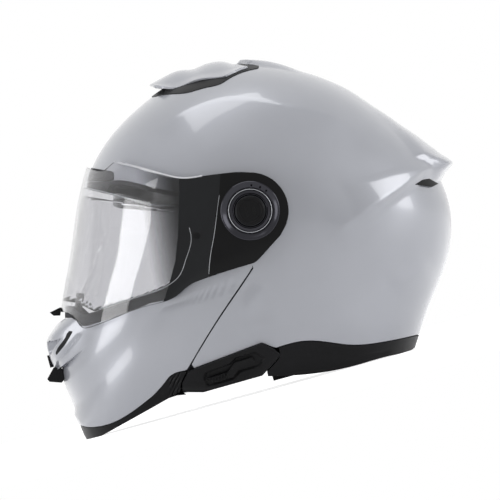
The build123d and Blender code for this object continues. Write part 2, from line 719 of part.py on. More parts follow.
receiver_bottom = strap_end_height - receiver_height / 2
receiver_top = strap_end_height + receiver_height / 2
receiver_half = receiver_length / 2
lever_bottom = receiver_top + lever_gap
pin_height = lever_bottom + lever_height / 2
pin_level = lever_pin_share * receiver_length
lug_inner = lever_width / 2 + lever_gap
lug_outer = lug_inner + receiver_wall
with BuildPart() as buckle_receiver:
    add(block((strap_middle - receiver_width / 2, -receiver_half, receiver_bottom),
              (strap_middle + receiver_width / 2, receiver_half, receiver_top)))
    fillet(buckle_receiver.edges().filter_by(Axis.Z), receiver_wall)
    add(block((strap_middle - buckle_tab_width / 2 - seat_gap, -receiver_half + receiver_wall,
               strap_end_height - buckle_tab_thickness / 2 - seat_gap),
              (strap_middle + buckle_tab_width / 2 + seat_gap, receiver_half + cut_overrun,
               strap_end_height + buckle_tab_thickness / 2 + seat_gap)), mode=Mode.SUBTRACT)
    for side in (-1, 1):
        near, far = sorted((side * lug_inner, side * lug_outer))
        add(block((strap_middle + near, pin_level - receiver_wall, receiver_top),
                  (strap_middle + far, pin_level + receiver_wall, pin_height + lever_pin_radius)))
    with BuildSketch(Plane.YZ.offset(strap_middle - lug_outer)):
        with Locations((pin_level, pin_height)):
            Circle(lever_pin_radius)
    extrude(amount=2 * lug_outer)
save(buckle_receiver.part, "buckle_receiver")

with BuildPart() as buckle_tab:
    add(block((strap_middle - buckle_tab_width / 2, -receiver_half + receiver_wall + seat_gap,
               strap_end_height - buckle_tab_thickness / 2),
              (strap_middle + buckle_tab_width / 2, strap_right_end,
               strap_end_height + buckle_tab_thickness / 2)))
    fillet(buckle_tab.edges().filter_by(Axis.Z), receiver_wall)
save(buckle_tab.part, "buckle_tab")

with BuildPart() as buckle_lever:
    add(block((strap_middle - lever_width / 2, pin_level - lever_height / 2, lever_bottom),
              (strap_middle + lever_width / 2, pin_level + lever_length, lever_bottom + lever_height)))
    fillet(buckle_lever.edges().filter_by(Axis.X), lever_height * lever_round_share)
    with BuildSketch(Plane.YZ):
        with Locations((pin_level, pin_height)):
            Circle(lever_pin_radius + sun_pin_gap)
    extrude(amount=full_span, both=True, mode=Mode.SUBTRACT)
save(buckle_lever.part, "buckle_lever")

# Chin bar and its vent openings
chin_outline = side_prism(
    chin_top_run,
    chin_shoulder_run,
    *straight_runs(chin_shoulder_run[-1], chin_seam_run[0]),
    chin_seam_run,
    chin_bottom_run,
    chin_nose_run,
    *straight_runs(chin_nose_run[-1], *chin_corners, chin_top_run[0]),
)
vent_openings = both_sides(
    block((-helmet_length, -vent_slot_half_width, vent_slot_bottom),
          (vent_slot_reach, -vent_slot_bridge, vent_slot_top))
)
with BuildPart() as chin_bar:
    add(shell_dome(0))
    add(shell_dome(chin_wall), mode=Mode.SUBTRACT)
    add(chin_outline, mode=Mode.INTERSECT)
    add(vent_openings, mode=Mode.SUBTRACT)
    for pixel in plate_screw_pixels:
        add(both_sides(side_rod(pixel, plate_screw_radius + sun_pin_gap, 0, plate_screw_end_level)),
            mode=Mode.SUBTRACT)
save(chin_bar.part, "chin_bar")

# Chin bar foam, which stays clear of the brow when the chin bar is up
with BuildPart() as chin_liner:
    add(shell_dome(chin_wall + wall_gap))
    add(shell_dome(chin_wall + wall_gap + chin_liner_thickness), mode=Mode.SUBTRACT)
    add(side_polygon(*chin_liner_pixels), mode=Mode.INTERSECT)
    add(pivot_disc(chin_liner_clear_radius, -full_span, full_span), mode=Mode.SUBTRACT)
    add(vent_openings, mode=Mode.SUBTRACT)
save(chin_liner.part, "chin_liner")

# Chin bar trim, flat where it stands, with the recess for the release button
button_x, button_z = side_point(*button_pixel)
with BuildPart() as chin_trim:
    add(shell_dome(0))
    add(shell_dome(chin_trim_thickness), mode=Mode.SUBTRACT)
    add(
        side_prism(
            shifted(chin_bottom_run, seal_gap_pixels),
            *straight_runs(shifted(chin_bottom_run, seal_gap_pixels)[-1], trim_nose_run[0]),
            trim_nose_run,
            *straight_runs(trim_nose_run[-1], *trim_low_pixels,
                           shifted(chin_bottom_run, seal_gap_pixels)[0]),
        ),
        mode=Mode.INTERSECT,
    )
    add(above_ground, mode=Mode.INTERSECT)
    add(
        block(
            (button_x - button_travel - button_gap, -button_half_width - button_gap,
             button_z - button_height / 2 - button_gap),
            (button_x + cut_overrun, button_half_width + button_gap,
             button_z + button_height / 2 + button_gap),
        ),
        mode=Mode.SUBTRACT,
    )
save(chin_trim.part, "chin_trim")

with BuildPart() as release_button:
    add(block((button_x, -button_half_width, button_z - button_height / 2),
              (button_x + button_length, button_half_width, button_z + button_height / 2)))
    fillet(release_button.edges().filter_by(Axis.X), button_round)
save(release_button.part, "release_button")

# Latch hooks beside the strikers, with their pins
with BuildPart() as latch_hook:
    add(side_polygon(*hook_pixels, inner_level=hook_level - hook_thickness, outer_level=hook_level))
    add(side_rod(hook_pivot_pixel, hook_pivot_radius + sun_pin_gap, 0, full_span), mode=Mode.SUBTRACT)
save_pair(latch_hook.part, "latch_hook")

with BuildPart() as latch_pin:
    add(side_rod(hook_pivot_pixel, hook_pivot_radius, hook_level - hook_thickness - seat_gap, full_span))
    add(shell_dome(chin_wall + seat_gap), mode=Mode.INTERSECT)
save(both_sides(latch_pin.part), "latch_pins")

with BuildPart() as striker_pin:
    add(side_rod(striker_pixel, striker_radius, hook_level - hook_thickness - seat_gap, full_span))
    add(shell_dome(shell_wall + seat_gap), mode=Mode.INTERSECT)
save(both_sides(striker_pin.part), "striker_pins")

# Rubber seal on the chin bar's top edge, under the visor
seal_top_run = shifted(chin_top_run, -window_seal_pixels)
seal_low_run = shifted(chin_top_run, -seal_gap_pixels)
seal_shoulder_run = shifted(chin_shoulder_run, -seal_gap_pixels)
with BuildPart() as chin_window_seal:
    add(shell_dome(0))
    add(shell_dome(chin_wall), mode=Mode.SUBTRACT)
    add(
        side_prism(
            seal_low_run,
            seal_shoulder_run,
            *straight_runs(seal_shoulder_run[-1], *seal_end_pixels, seal_top_run[-1]),
            turned(seal_top_run),
            *straight_runs(seal_top_run[0], seal_low_run[0]),
        ),
        mode=Mode.INTERSECT,
    )
save(chin_window_seal.part, "chin_window_seal")

# Hinge plates: a round plate under the visor, a web beside the ear and a flange behind the chin bar
plate_outline = side_polygon(*plate_pixels, inner_level=0, outer_level=full_span) + pivot_disc(
    hinge_plate_radius, 0, full_span)
flange_inner = chin_wall + plate_flange_gap + plate_flange_thickness
ear_clear_disc = pivot_disc(ear_radius + ear_clearance, 0, full_span)
with BuildPart() as plate_web:
    add(visor_dome(hinge_plate_inset + hinge_plate_thickness / 2))
    add(shell_dome(flange_inner - plate_flange_thickness / 2), mode=Mode.SUBTRACT)
    add(side_polygon(*web_pixels, inner_level=0, outer_level=full_span), mode=Mode.INTERSECT)
    add(ear_clear_disc, mode=Mode.SUBTRACT)
with BuildPart() as plate_flange:
    add(shell_dome(chin_wall + plate_flange_gap))
    add(shell_dome(flange_inner), mode=Mode.SUBTRACT)
    add(side_polygon(*flange_pixels, inner_level=0, outer_level=full_span), mode=Mode.INTERSECT)
    add(ear_clear_disc, mode=Mode.SUBTRACT)
with BuildPart() as hinge_plate:
    add(visor_dome(hinge_plate_inset))
    add(visor_dome(hinge_plate_inset + hinge_plate_thickness), mode=Mode.SUBTRACT)
    add(plate_outline, mode=Mode.INTERSECT)
    add(plate_web.part)
    add(plate_flange.part)
    add(pivot_disc(axle_hole_radius, 0, full_span), mode=Mode.SUBTRACT)
    for pixel in plate_screw_pixels:
        add(side_rod(pixel, plate_screw_radius + sun_pin_gap, 0, plate_screw_end_level), mode=Mode.SUBTRACT)
save_pair(hinge_plate.part, "hinge_plate")

with BuildPart() as plate_screws:
    for pixel in plate_screw_pixels:
        add(side_rod(pixel, plate_screw_head_radius, plate_screw_head_level, full_span))
    add(shell_dome(flange_inner + seat_gap), mode=Mode.INTERSECT)
    for pixel in plate_screw_pixels:
        add(side_rod(pixel, plate_screw_radius, plate_screw_head_level, plate_screw_end_level - seat_gap))
save(both_sides(plate_screws.part), "plate_screws")

# Pivot rings, which carry the visor's ears
with BuildPart() as pivot_ring:
    add(pivot_disc(ring_radius, shell_half_width, ring_outer_level))
    add(visor_dome(hinge_plate_inset - seat_gap), mode=Mode.SUBTRACT)
    add(pivot_disc(ring_lip_radius, ring_outer_level - ring_lip_thickness, ring_outer_level))
    fillet(pivot_ring.faces().sort_by(Axis.Y)[0].outer_wire().edges(), ring_lip_thickness * ring_round_share)
    add(pivot_disc(axle_hole_radius, 0, full_span), mode=Mode.SUBTRACT)
save_pair(pivot_ring.part, "pivot_ring")

# Chin vent: cover, slider, mesh and the lip below
cover_front = side_point(*cover_front_pixel)[0]
with BuildPart() as chin_vent_cover:
    add(dome(cover_profile_shares, shell_half_width, 0))
    add(side_polygon(*cover_pixels), mode=Mode.INTERSECT)
    add(shell_dome(-seat_gap), mode=Mode.SUBTRACT)
with BuildPart() as cover_pocket:
    add(dome(cover_profile_shares, shell_half_width, vent_cover_wall))
    add(side_polygon(*cover_pocket_pixels), mode=Mode.INTERSECT)
with BuildPart() as chin_vent_shell:
    add(chin_vent_cover.part)
    add(cover_pocket.part, mode=Mode.SUBTRACT)
    add(both_sides(side_polygon(*cover_slot_pixels, inner_level=vent_slot_bridge, outer_level=full_span)),
        mode=Mode.SUBTRACT)
    add(
        block(
            (-helmet_length, -chin_slider_half_width - chin_slider_gap,
             chin_slider_bottom - chin_slider_gap),
            (cover_front + chin_slider_depth, chin_slider_half_width + chin_slider_gap,
             chin_slider_bottom + chin_slider_height + chin_slider_travel + chin_slider_gap),
        ),
        mode=Mode.SUBTRACT,
    )
save(chin_vent_shell.part, "chin_vent_cover")

with BuildPart() as chin_vent_slider:
    add(block((cover_front - chin_slider_rise, -chin_slider_half_width, chin_slider_bottom),
              (cover_front + chin_slider_depth - chin_slider_gap, chin_slider_half_width,
               chin_slider_bottom + chin_slider_height)))
    fillet(chin_vent_slider.edges().filter_by(Axis.X), chin_slider_rise)
save(chin_vent_slider.part, "chin_vent_slider")

with BuildPart() as chin_vent_mesh:
    add(shell_dome(-seat_gap - vent_mesh_thickness))
    add(shell_dome(-seat_gap), mode=Mode.SUBTRACT)
    add(side_polygon(*chin_mesh_pixels), mode=Mode.INTERSECT)
save(chin_vent_mesh.part, "chin_vent_mesh")

with BuildPart() as chin_vent_lip:
    add(side_polygon(*vent_lip_pixels, inner_level=-vent_lip_half_width, outer_level=vent_lip_half_width))
    add(shell_dome(-seat_gap), mode=Mode.SUBTRACT)
save(chin_vent_lip.part, "chin_vent_lip")

# Breath deflector inside the chin bar, on a foot behind its wall
with BuildPart() as breath_deflector:
    add(shell_dome(deflector_inset))
    add(shell_dome(deflector_inset + deflector_thickness), mode=Mode.SUBTRACT)
    add(side_polygon(*deflector_pixels, inner_level=-deflector_half_width, outer_level=deflector_half_width),
        mode=Mode.INTERSECT)
with BuildPart() as deflector_foot:
    add(shell_dome(chin_wall + seat_gap))
    add(shell_dome(deflector_inset + deflector_thickness), mode=Mode.SUBTRACT)
    add(side_polygon(*foot_pixels, inner_level=-deflector_half_width, outer_level=deflector_half_width),
        mode=Mode.INTERSECT)
with BuildPart() as whole_deflector:
    add(breath_deflector.part)
    add(deflector_foot.part)
save(whole_deflector.part, "breath_deflector")

# Chin curtain behind the trim
with BuildPart() as chin_curtain:
    add(side_polygon(*curtain_pixels, inner_level=-curtain_half_width, outer_level=curtain_half_width))
    add(shell_dome(chin_trim_thickness + seat_gap), mode=Mode.INTERSECT)
save(chin_curtain.part, "chin_curtain")

# Visor, its insert, pins and tab
visor_side = side_prism(
    visor_top_run,
    *straight_runs(visor_top_run[-1], *visor_front_pixels, visor_low_run[0]),
    visor_low_run,
    *straight_runs(visor_low_run[-1], *visor_rear_pixels, visor_top_run[0]),
)
visor_outline = visor_side + pivot_disc(visor_ear_radius, -full_span, full_span)
with BuildPart() as visor:
    add(visor_dome(0))
    add(visor_dome(visor_thickness), mode=Mode.SUBTRACT)
    add(visor_outline, mode=Mode.INTERSECT)
    add(pivot_disc(ring_radius + axle_gap, -full_span, full_span), mode=Mode.SUBTRACT)
    add(both_sides(side_rod(antifog_pin_pixel, antifog_pin_radius + sun_pin_gap, 0, full_span)),
        mode=Mode.SUBTRACT)
save(visor.part, "visor")

with BuildPart() as antifog_insert:
    add(visor_dome(visor_thickness + antifog_gap))
    add(visor_dome(visor_thickness + antifog_gap + antifog_thickness), mode=Mode.SUBTRACT)
    add(side_prism(antifog_rear_run, *straight_runs(*antifog_pixels)), mode=Mode.INTERSECT)
save(antifog_insert.part, "antifog_insert")

with BuildPart() as antifog_pin:
    add(side_rod(antifog_pin_pixel, antifog_pin_radius, 0, full_span))
    add(visor_dome(-antifog_pin_rise), mode=Mode.INTERSECT)
    add(visor_dome(visor_thickness + antifog_gap + antifog_thickness), mode=Mode.SUBTRACT)
save(both_sides(antifog_pin.part), "antifog_pins")

with BuildPart() as visor_tab:
    add(side_polygon(*visor_tab_pixels, inner_level=-tab_half_width, outer_level=tab_half_width))
    add(visor_dome(-seat_gap), mode=Mode.SUBTRACT)
save(visor_tab.part, "visor_tab")
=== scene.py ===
"""Looks of a modular motorcycle helmet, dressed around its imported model.

The helmet faces -X and stands on the ground at the origin, with the wearer's left side at -Y.
Outlines of the side view are pixels of a 500 by 500 picture, which SideView turns into metres.
"""

import json
import logging
import math
from collections.abc import Callable, Sequence
from dataclasses import dataclass
from enum import Enum

import bmesh
import bpy
import numpy as np
from mathutils import Matrix, Vector


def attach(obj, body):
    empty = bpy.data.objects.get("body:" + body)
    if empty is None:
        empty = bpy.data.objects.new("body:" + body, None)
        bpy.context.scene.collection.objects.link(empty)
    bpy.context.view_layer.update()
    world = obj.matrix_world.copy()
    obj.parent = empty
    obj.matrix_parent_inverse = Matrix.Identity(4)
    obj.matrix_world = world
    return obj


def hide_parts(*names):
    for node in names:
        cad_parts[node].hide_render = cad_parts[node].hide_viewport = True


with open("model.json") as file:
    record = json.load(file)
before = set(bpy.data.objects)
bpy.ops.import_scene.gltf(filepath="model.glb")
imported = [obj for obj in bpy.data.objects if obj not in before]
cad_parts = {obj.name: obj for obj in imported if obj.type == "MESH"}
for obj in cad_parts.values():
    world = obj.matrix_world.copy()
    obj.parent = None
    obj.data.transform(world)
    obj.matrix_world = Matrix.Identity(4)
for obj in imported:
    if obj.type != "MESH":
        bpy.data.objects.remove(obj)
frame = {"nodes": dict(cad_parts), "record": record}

log = logging.getLogger("helmet")
MM = 0.001
FAR = 1e9  # pixels, past every outline
SAME = 1e-6  # metres, closer than which two points are one
SNAP = 0.28  # share of an edge; a cut this near a corner moves the corner
Array = np.ndarray
Draft = bmesh.types.BMesh
Piece = bpy.types.Object
Socket = bpy.types.NodeSocket
Tone = tuple[int, int, int]
Pixel = tuple[float, float]
Run = tuple[Pixel, ...]
Field = Callable[[Array], Array]
Lift = Callable[[Array, Array, Array], Array]


# Side view and curves


@dataclass(frozen=True)
class SideView:
    """The side view in which the helmet's outlines are given."""

    ground: Pixel = (282.7, 385.47)
    pivot: Pixel = (250.3, 211.3)
    length: float = 0.358
    length_pixels: float = 447.2
    tilt: float = math.radians(15.4)

    @property
    def scale(self) -> float:
        """Metres in a pixel."""
        return self.length / self.length_pixels

    def place(self, column: float, row: float) -> Pixel:
        """A pixel as (x, z) in metres."""
        across, up = column - self.ground[0], self.ground[1] - row
        cos, sin = math.cos(self.tilt), math.sin(self.tilt)
        return self.scale * (across * cos + up * sin), self.scale * (up * cos - across * sin)

    def pixels(self, points: Array) -> Array:
        """Points in metres as pixels of the side view.

        Args:
            points: rows of x, y, z.

        Returns:
            Rows of column and row.
        """
        x, z = points[:, 0] / self.scale, points[:, 2] / self.scale
        cos, sin = math.cos(self.tilt), math.sin(self.tilt)
        return np.stack((self.ground[0] + x * cos - z * sin, self.ground[1] - x * sin - z * cos), 1)


SIDE = SideView()
PIVOT = SIDE.place(*SIDE.pivot)


def ease(share: Array) -> Array:
    """A share from 0 to 1, made smooth at both ends."""
    return share * share * (3 - 2 * share)


def bends(span: Array, knots: Array) -> Array:
    """How much a natural cubic curve bends at each of its knots.

    Args:
        span: the lengths between the knots.
        knots: the values or points that it goes through.

    Returns:
        A bend for each knot.
    """
    matrix, right = np.eye(len(knots)), np.zeros_like(knots)
    for i in range(1, len(knots) - 1):
        matrix[i, i - 1 : i + 2] = span[i - 1], 2 * (span[i - 1] + span[i]), span[i]
        right[i] = 6 * ((knots[i + 1] - knots[i]) / span[i] - (knots[i] - knots[i - 1]) / span[i - 1])
    return np.linalg.solve(matrix, right)


def between(knots: Array, bend: Array, span: Array, i: int | Array, b: Array) -> Array:
    """The cubic curve at the share b of its span i."""
    a, h = 1 - b, span[i]
    return a * knots[i] + b * knots[i + 1] + h * h / 6 * ((a**3 - a) * bend[i] + (b**3 - b) * bend[i + 1])


def spline(points: Sequence[Sequence[float]], steps: int = 8) -> Array:
    """A natural cubic curve through points.

    Args:
        points: the points, in order.
        steps: samples in each span.

    Returns:
        Rows of the curve's points.
    """
    knots = np.array(points, float)
    if len(knots) == 2:
        return knots
    span = np.linalg.norm(np.diff(knots, axis=0), axis=1)
    bend = bends(span, knots)
    shares = (np.arange(1, steps + 1) / steps)[:, None]
    return np.concatenate([knots[:1], *(between(knots, bend, span, i, shares) for i in range(len(span)))])


def wheel(angles: Sequence[float], values: Sequence[float]) -> Callable[[Array], Array]:
    """A smooth closed function of an angle through the given values.

    Args:
        angles: degrees, rising.
        values: the value at each.

    Returns:
        The function.
    """
    places = np.concatenate([np.array(angles) + 360 * turn for turn in range(-2, 3)])
    heights = np.tile(np.array(values, float), len(places) // len(angles))
    span = np.diff(places)
    bend = bends(span, heights)

    def value(angle: Array) -> Array:
        """The function's value at each angle."""
        at = np.asarray(angle) % 360
        i = np.clip(np.searchsorted(places, at) - 1, 0, len(span) - 1)
        return between(heights, bend, span, i, (at - places[i]) / span[i])

    return value


@dataclass(frozen=True)
class Outline:
    """A closed outline in the side view, of runs that are smooth between their ends."""

    runs: tuple[Run, ...]

    def line(self) -> Array:
        """The outline as a closed row of pixels."""
        return np.concatenate([spline(run)[:-1] if i else spline(run) for i, run in enumerate(self.runs)])

    def depth(self, points: Array) -> Array:
        """How far each point of the helmet lies inside the outline.

        Args:
            points: rows of x, y, z.

        Returns:
            Metres, negative outside.
        """
        at, line = SIDE.pixels(points), self.line()
        far, inside = np.full(len(at), FAR), np.zeros(len(at), bool)
        for a, b in zip(line, np.roll(line, -1, axis=0)):
            edge = b - a
            size = float(edge @ edge)
            if size < 1e-12:
                continue
            along = np.clip((at - a) @ edge / size, 0, 1)
            far = np.minimum(far, np.linalg.norm(at - a - along[:, None] * edge, axis=1))
            if a[1] != b[1]:
                crossing = (a[1] > at[:, 1]) != (b[1] > at[:, 1])
                inside ^= crossing & (at[:, 0] < a[0] + (at[:, 1] - a[1]) * edge[0] / edge[1])
        return np.where(inside, far, -far) * SIDE.scale


def run_distance(points: Array, run: Run) -> tuple[Array, Array]:
    """Distance of points from a run in the side view, and the share of its length that is nearest.

    Args:
        points: rows of x, y, z in metres.
        run: the run's pixels.

    Returns:
        Signed distance in metres, positive on the right of the run as it is walked in the picture,
        and the nearest share from 0 to 1.
    """
    at, line = SIDE.pixels(points), spline(run)
    far, side, share = np.full(len(at), FAR), np.ones(len(at)), np.zeros(len(at))
    reach = np.concatenate(([0], np.cumsum(np.linalg.norm(np.diff(line, axis=0), axis=1))))
    for i, (a, b) in enumerate(zip(line[:-1], line[1:])):
        edge = b - a
        along = np.clip((at - a) @ edge / (edge @ edge), 0, 1)
        gap = at - a - along[:, None] * edge
        distance = np.linalg.norm(gap, axis=1)
        nearer = distance < far
        cross = edge[0] * gap[:, 1] - edge[1] * gap[:, 0]
        far = np.where(nearer, distance, far)
        side = np.where(nearer, np.where(cross >= 0, 1, -1), side)
        share = np.where(nearer, (reach[i] + along * (reach[i + 1] - reach[i])) / reach[-1], share)
    return far * side * SIDE.scale, share


def polygon(*pixels: Pixel) -> Outline:
    """An outline with straight edges."""
    return Outline(tuple((pixels[i], pixels[(i + 1) % len(pixels)]) for i in range(len(pixels))))


def joined(*runs: Run) -> Outline:
    """An outline of runs.

    Args:
        runs: the runs in order; a straight edge joins two that don't meet.

    Returns:
        The closed outline.
    """
    full: list[Run] = []
    for i, run in enumerate(runs):
        if run[0] != runs[i - 1][-1]:
            full.append((runs[i - 1][-1], run[0]))
        full.append(run)
    return Outline(tuple(full))


def moved(run: Run, down: float) -> Run:
    """A run moved down the picture."""
    return tuple((column, row + down) for column, row in run)


def disc(radius: float, centre: Pixel = PIVOT) -> Field:
    """The depth inside a circle about an axis across the helmet, in metres."""
    return lambda p: radius - np.hypot(p[:, 0] - centre[0], p[:, 2] - centre[1])


# Round bodies


@dataclass(frozen=True)
class Dome:
    """A round body about the pivot axis: angle from the rear over the crown, radius share, fullness."""

    profile: tuple[tuple[float, float, float], ...]
    half_width: float

    def shape(self, angle: Array) -> tuple[Array, Array]:
        """The radius in metres of the middle line, and the fullness across, at each angle."""
        degrees, shares, fullness = zip(*self.profile)
        return wheel(degrees, shares)(angle) * SIDE.length, wheel(degrees, fullness)(angle)

    def points(self, angle: Array, share: Array, inset: Array | float) -> Array:
        """Points of the surface, moved inwards.

        Args:
            angle: degrees about the pivot.
            share: place across, from -1 at the left cheek to 1 at the right.
            inset: distance inwards, in metres.

        Returns:
            Rows of x, y, z.
        """
        radius, power = self.shape(angle)
        radius = (radius - inset) * np.maximum(1 - np.abs(share) ** power, 0) ** (1 / power)
        turn = np.radians(angle)
        return np.stack((PIVOT[0] + radius * np.cos(turn), share * (self.half_width - inset),
                         PIVOT[1] + radius * np.sin(turn)), 1)


SHELL = Dome((
    (0, 0.416, 2.3), (15, 0.377, 2.3), (30, 0.3505, 2.25), (45, 0.3365, 2.2), (60, 0.3295, 2.2),
    (75, 0.3275, 2.2), (90, 0.3275, 2.2), (105, 0.331, 2.2), (120, 0.3385, 2.2), (135, 0.352, 2.2),
    (150, 0.367, 2.2), (165, 0.380, 2.25), (180, 0.420, 2.35), (192, 0.467, 2.45), (200, 0.511, 2.5),
    (206.6, 0.5615, 2.5), (212.7, 0.588, 2.5), (217.4, 0.620, 2.5), (226, 0.6425, 2.5),
    (240, 0.637, 2.5), (255, 0.6145, 2.5), (270, 0.595, 2.5), (285, 0.559, 2.5), (300, 0.497, 2.45),
    (315, 0.455, 2.4), (330, 0.4525, 2.35), (345, 0.447, 2.3)), 0.120)
VISOR = Dome((
    (0, 0.4245, 2.5), (15, 0.416, 2.45), (30, 0.408, 2.42), (45, 0.402, 2.4), (60, 0.3965, 2.35),
    (75, 0.391, 2.33), (90, 0.3855, 2.3), (105, 0.3825, 2.3), (120, 0.380, 2.25), (135, 0.3785, 2.2),
    (150, 0.379, 2.2), (165, 0.389, 2.25), (180, 0.4195, 2.35), (192, 0.4765, 2.45), (200, 0.5305, 2.5),
    (210, 0.606, 2.5), (225, 0.631, 2.5), (240, 0.609, 2.5), (255, 0.5755, 2.5), (270, 0.5475, 2.5),
    (285, 0.5195, 2.5), (300, 0.4915, 2.5), (315, 0.469, 2.5), (330, 0.4495, 2.5), (345, 0.4355, 2.5)),
    0.1274)


@dataclass(frozen=True)
class Relief:
    """A raised or sunk line on a round body, smooth on each side of a run of the side view.

    The surface is moved by height at the run and fades to nothing over the two reaches, in metres:
    reach_right on the right of the run as it is walked, reach_left on its left. The ends fade too.
    """

    run: Run
    height: float
    reach_right: float
    reach_left: float
    end_fade: float = 0.15
    sharp: bool = False

    def __call__(self, places: Array, angle: Array, share: Array) -> Array:
        """How far outwards each place goes.

        Args:
            places: rows of x, y, z.
            angle: degrees about the pivot; not used.
            share: place across, from -1 to 1; not used.

        Returns:
            Metres.
        """
        distance, along = run_distance(places, self.run)
        reach = np.where(distance >= 0, self.reach_right, self.reach_left)
        fall = np.clip(1 - np.abs(distance) / reach, 0, 1)
        ends = np.clip(np.minimum(along, 1 - along) / self.end_fade, 0, 1)
        return self.height * (fall * fall if self.sharp else ease(fall)) * ease(ends)


def superspaced(count: int, fullness: float = 2.3) -> Array:
    """Places across a round body, from -1 to 1, that are nearly evenly spaced along its surface."""
    turn = np.linspace(-math.pi / 2, math.pi / 2, count)
    return np.sign(turn) * np.abs(np.sin(turn)) ** (2 / fullness)


def trim(bm: Draft, field: Field, keep: bool = False, index: int = 0) -> None:
    """Cuts a mesh along the line where a field is zero.

    Args:
        bm: the mesh.
        field: depth inside what stays, for rows of points.
        keep: keeps both parts and gives the outer one a material index instead.
        index: that material index.
    """
    bm.verts.ensure_lookup_table()
    places = np.array([v.co for v in bm.verts])
    value = {v: float(d) for v, d in zip(bm.verts, field(places))}
    near: dict[bmesh.types.BMVert, tuple[float, Vector]] = {}
    for edge in bm.edges:
        a, b = edge.verts
        if value[a] * value[b] >= 0:
            continue
        part = value[a] / (value[a] - value[b])
        at = a.co.lerp(b.co, part)
        for vert, share in ((a, part), (b, 1 - part)):
            if share < SNAP and (vert not in near or near[vert][0] > share):
                near[vert] = (share, at)
    for vert, (_, at) in near.items():
        vert.co, value[vert] = at, 0.0
    for edge in [e for e in bm.edges if value[e.verts[0]] * value[e.verts[1]] < 0]:
        a, b = edge.verts
        part = value[a] / (value[a] - value[b])
        _, new = bmesh.utils.edge_split(edge, a, part)
        value[new] = 0.0
    for face in list(bm.faces):
        signs = [value[v] for v in face.verts]
        if min(signs) < 0 < max(signs):
            on = [v for v in face.verts if value[v] == 0.0]
            for i, a in enumerate(on):
                other = next((b for b in on[i + 1 :] if not bm.edges.get((a, b))), None)
                if other:
                    bmesh.utils.face_split(face, a, other)
                    break
    outer = [f for f in bm.faces if sum(value[v] for v in f.verts) < 0]
    if keep:
        for face in outer:
            face.material_index = index
    else:
        bmesh.ops.delete(bm, geom=outer, context="FACES")


# Meshes and pieces


def plane(columns: int, rows: int, size: float = 1) -> Draft:
    """A flat grid of squares about the origin."""
    bm = bmesh.new()
    bmesh.ops.create_grid(bm, x_segments=columns, y_segments=rows, size=size)
    return bm


def link(name: str, data: bpy.types.ID) -> Piece:
    """A new object in the scene."""
    thing = bpy.data.objects.new(name, data)
    bpy.context.scene.collection.objects.link(thing)
    return thing


def as_mesh(name: str, bm: Draft) -> bpy.types.Mesh:
    """A mesh from one in the making, which is freed."""
    mesh = bpy.data.meshes.new(name)
    bm.to_mesh(mesh)
    bm.free()
    return mesh


def place_piece(name: str, bm: Draft, body: str, slot: str, *nodes: str) -> Piece:
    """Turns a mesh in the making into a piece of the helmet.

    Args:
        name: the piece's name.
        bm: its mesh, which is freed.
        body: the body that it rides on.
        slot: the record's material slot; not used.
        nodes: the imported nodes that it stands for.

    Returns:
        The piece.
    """
    mesh = as_mesh(name, bm)
    mesh.shade_smooth()
    piece = link(name, mesh)
    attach(piece, body)
    if nodes:
        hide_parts(*nodes)
    log.info("%s: %d vertices on %s", name, len(mesh.vertices), body)
    return piece


def walled(piece: Piece, wall: float, edge: float = 0.0004) -> Piece:
    """Gives an open surface a wall inwards and rounds its rim.

    Args:
        piece: the piece.
        wall: the wall's thickness, in metres.
        edge: the width of the rounding.

    Returns:
        The same piece.
    """
    solid = piece.modifiers.new("wall", "SOLIDIFY")
    solid.thickness, solid.offset, solid.use_even_offset = wall, -1, True
    return rounded(piece, edge) if edge else piece


def rounded(piece: Piece, edge: float, angle: float = 40, segments: int = 2) -> Piece:
    """Rounds the sharp edges of a piece.

    Args:
        piece: the piece.
        edge: the rounding's width, in metres.
        angle: the sharpest bend in degrees that stays as it is.
        segments: faces across the rounding.

    Returns:
        The same piece.
    """
    bevel = piece.modifiers.new("edges", "BEVEL")
    bevel.width, bevel.segments, bevel.limit_method = edge, segments, "ANGLE"
    bevel.angle_limit, bevel.harden_normals = math.radians(angle), True
    return piece


def coat(piece: Piece, *materials: bpy.types.Material) -> Piece:
    """Gives a piece its materials.

    Args:
        piece: the piece.
        materials: the materials, in the order of the faces' indices.

    Returns:
        The same piece.
    """
    if piece.data.materials:
        piece.data.materials.clear()
    for material in materials:
        piece.data.materials.append(material)
    return piece


def dome_grid(dome: Dome, inset: float, angles: Array, shares: Array,
              lifts: Sequence[Lift] = ()) -> Draft:
    """A grid laid over part of a round body.

    Args:
        dome: the round body.
        inset: distance inwards, in metres.
        angles: the grid's angles, in order; a full turn closes it.
        shares: its places across, from -1 to 1.
        lifts: what raises or sinks the surface.

    Returns:
        The open surface.
    """
    bm = plane(len(angles) - 1, len(shares) - 1)
    grid = np.array([v.co for v in bm.verts])
    angle = angles[np.rint((grid[:, 0] + 1) / 2 * (len(angles) - 1)).astype(int)]
    share = shares[np.rint((grid[:, 1] + 1) / 2 * (len(shares) - 1)).astype(int)]
    places = dome.points(angle, share, inset)
    lift = sum((rise(places, angle, share) for rise in lifts), np.zeros(len(places)))
    for vert, place in zip(bm.verts, dome.points(angle, share, inset - lift)):
        vert.co = place
    bmesh.ops.remove_doubles(bm, verts=bm.verts, dist=SAME)
    bmesh.ops.recalc_face_normals(bm, faces=bm.faces)
    return face_out(bm)


def face_out(bm: Draft) -> Draft:
    """Turns a surface's faces away from the middle of the helmet."""
    centre = Vector((PIVOT[0], 0, PIVOT[1]))
    outward = sum((f.calc_center_median() - centre).dot(f.normal) * f.calc_area() for f in bm.faces)
    if outward < 0:
        bmesh.ops.reverse_faces(bm, faces=bm.faces)
    return bm


# Finishes


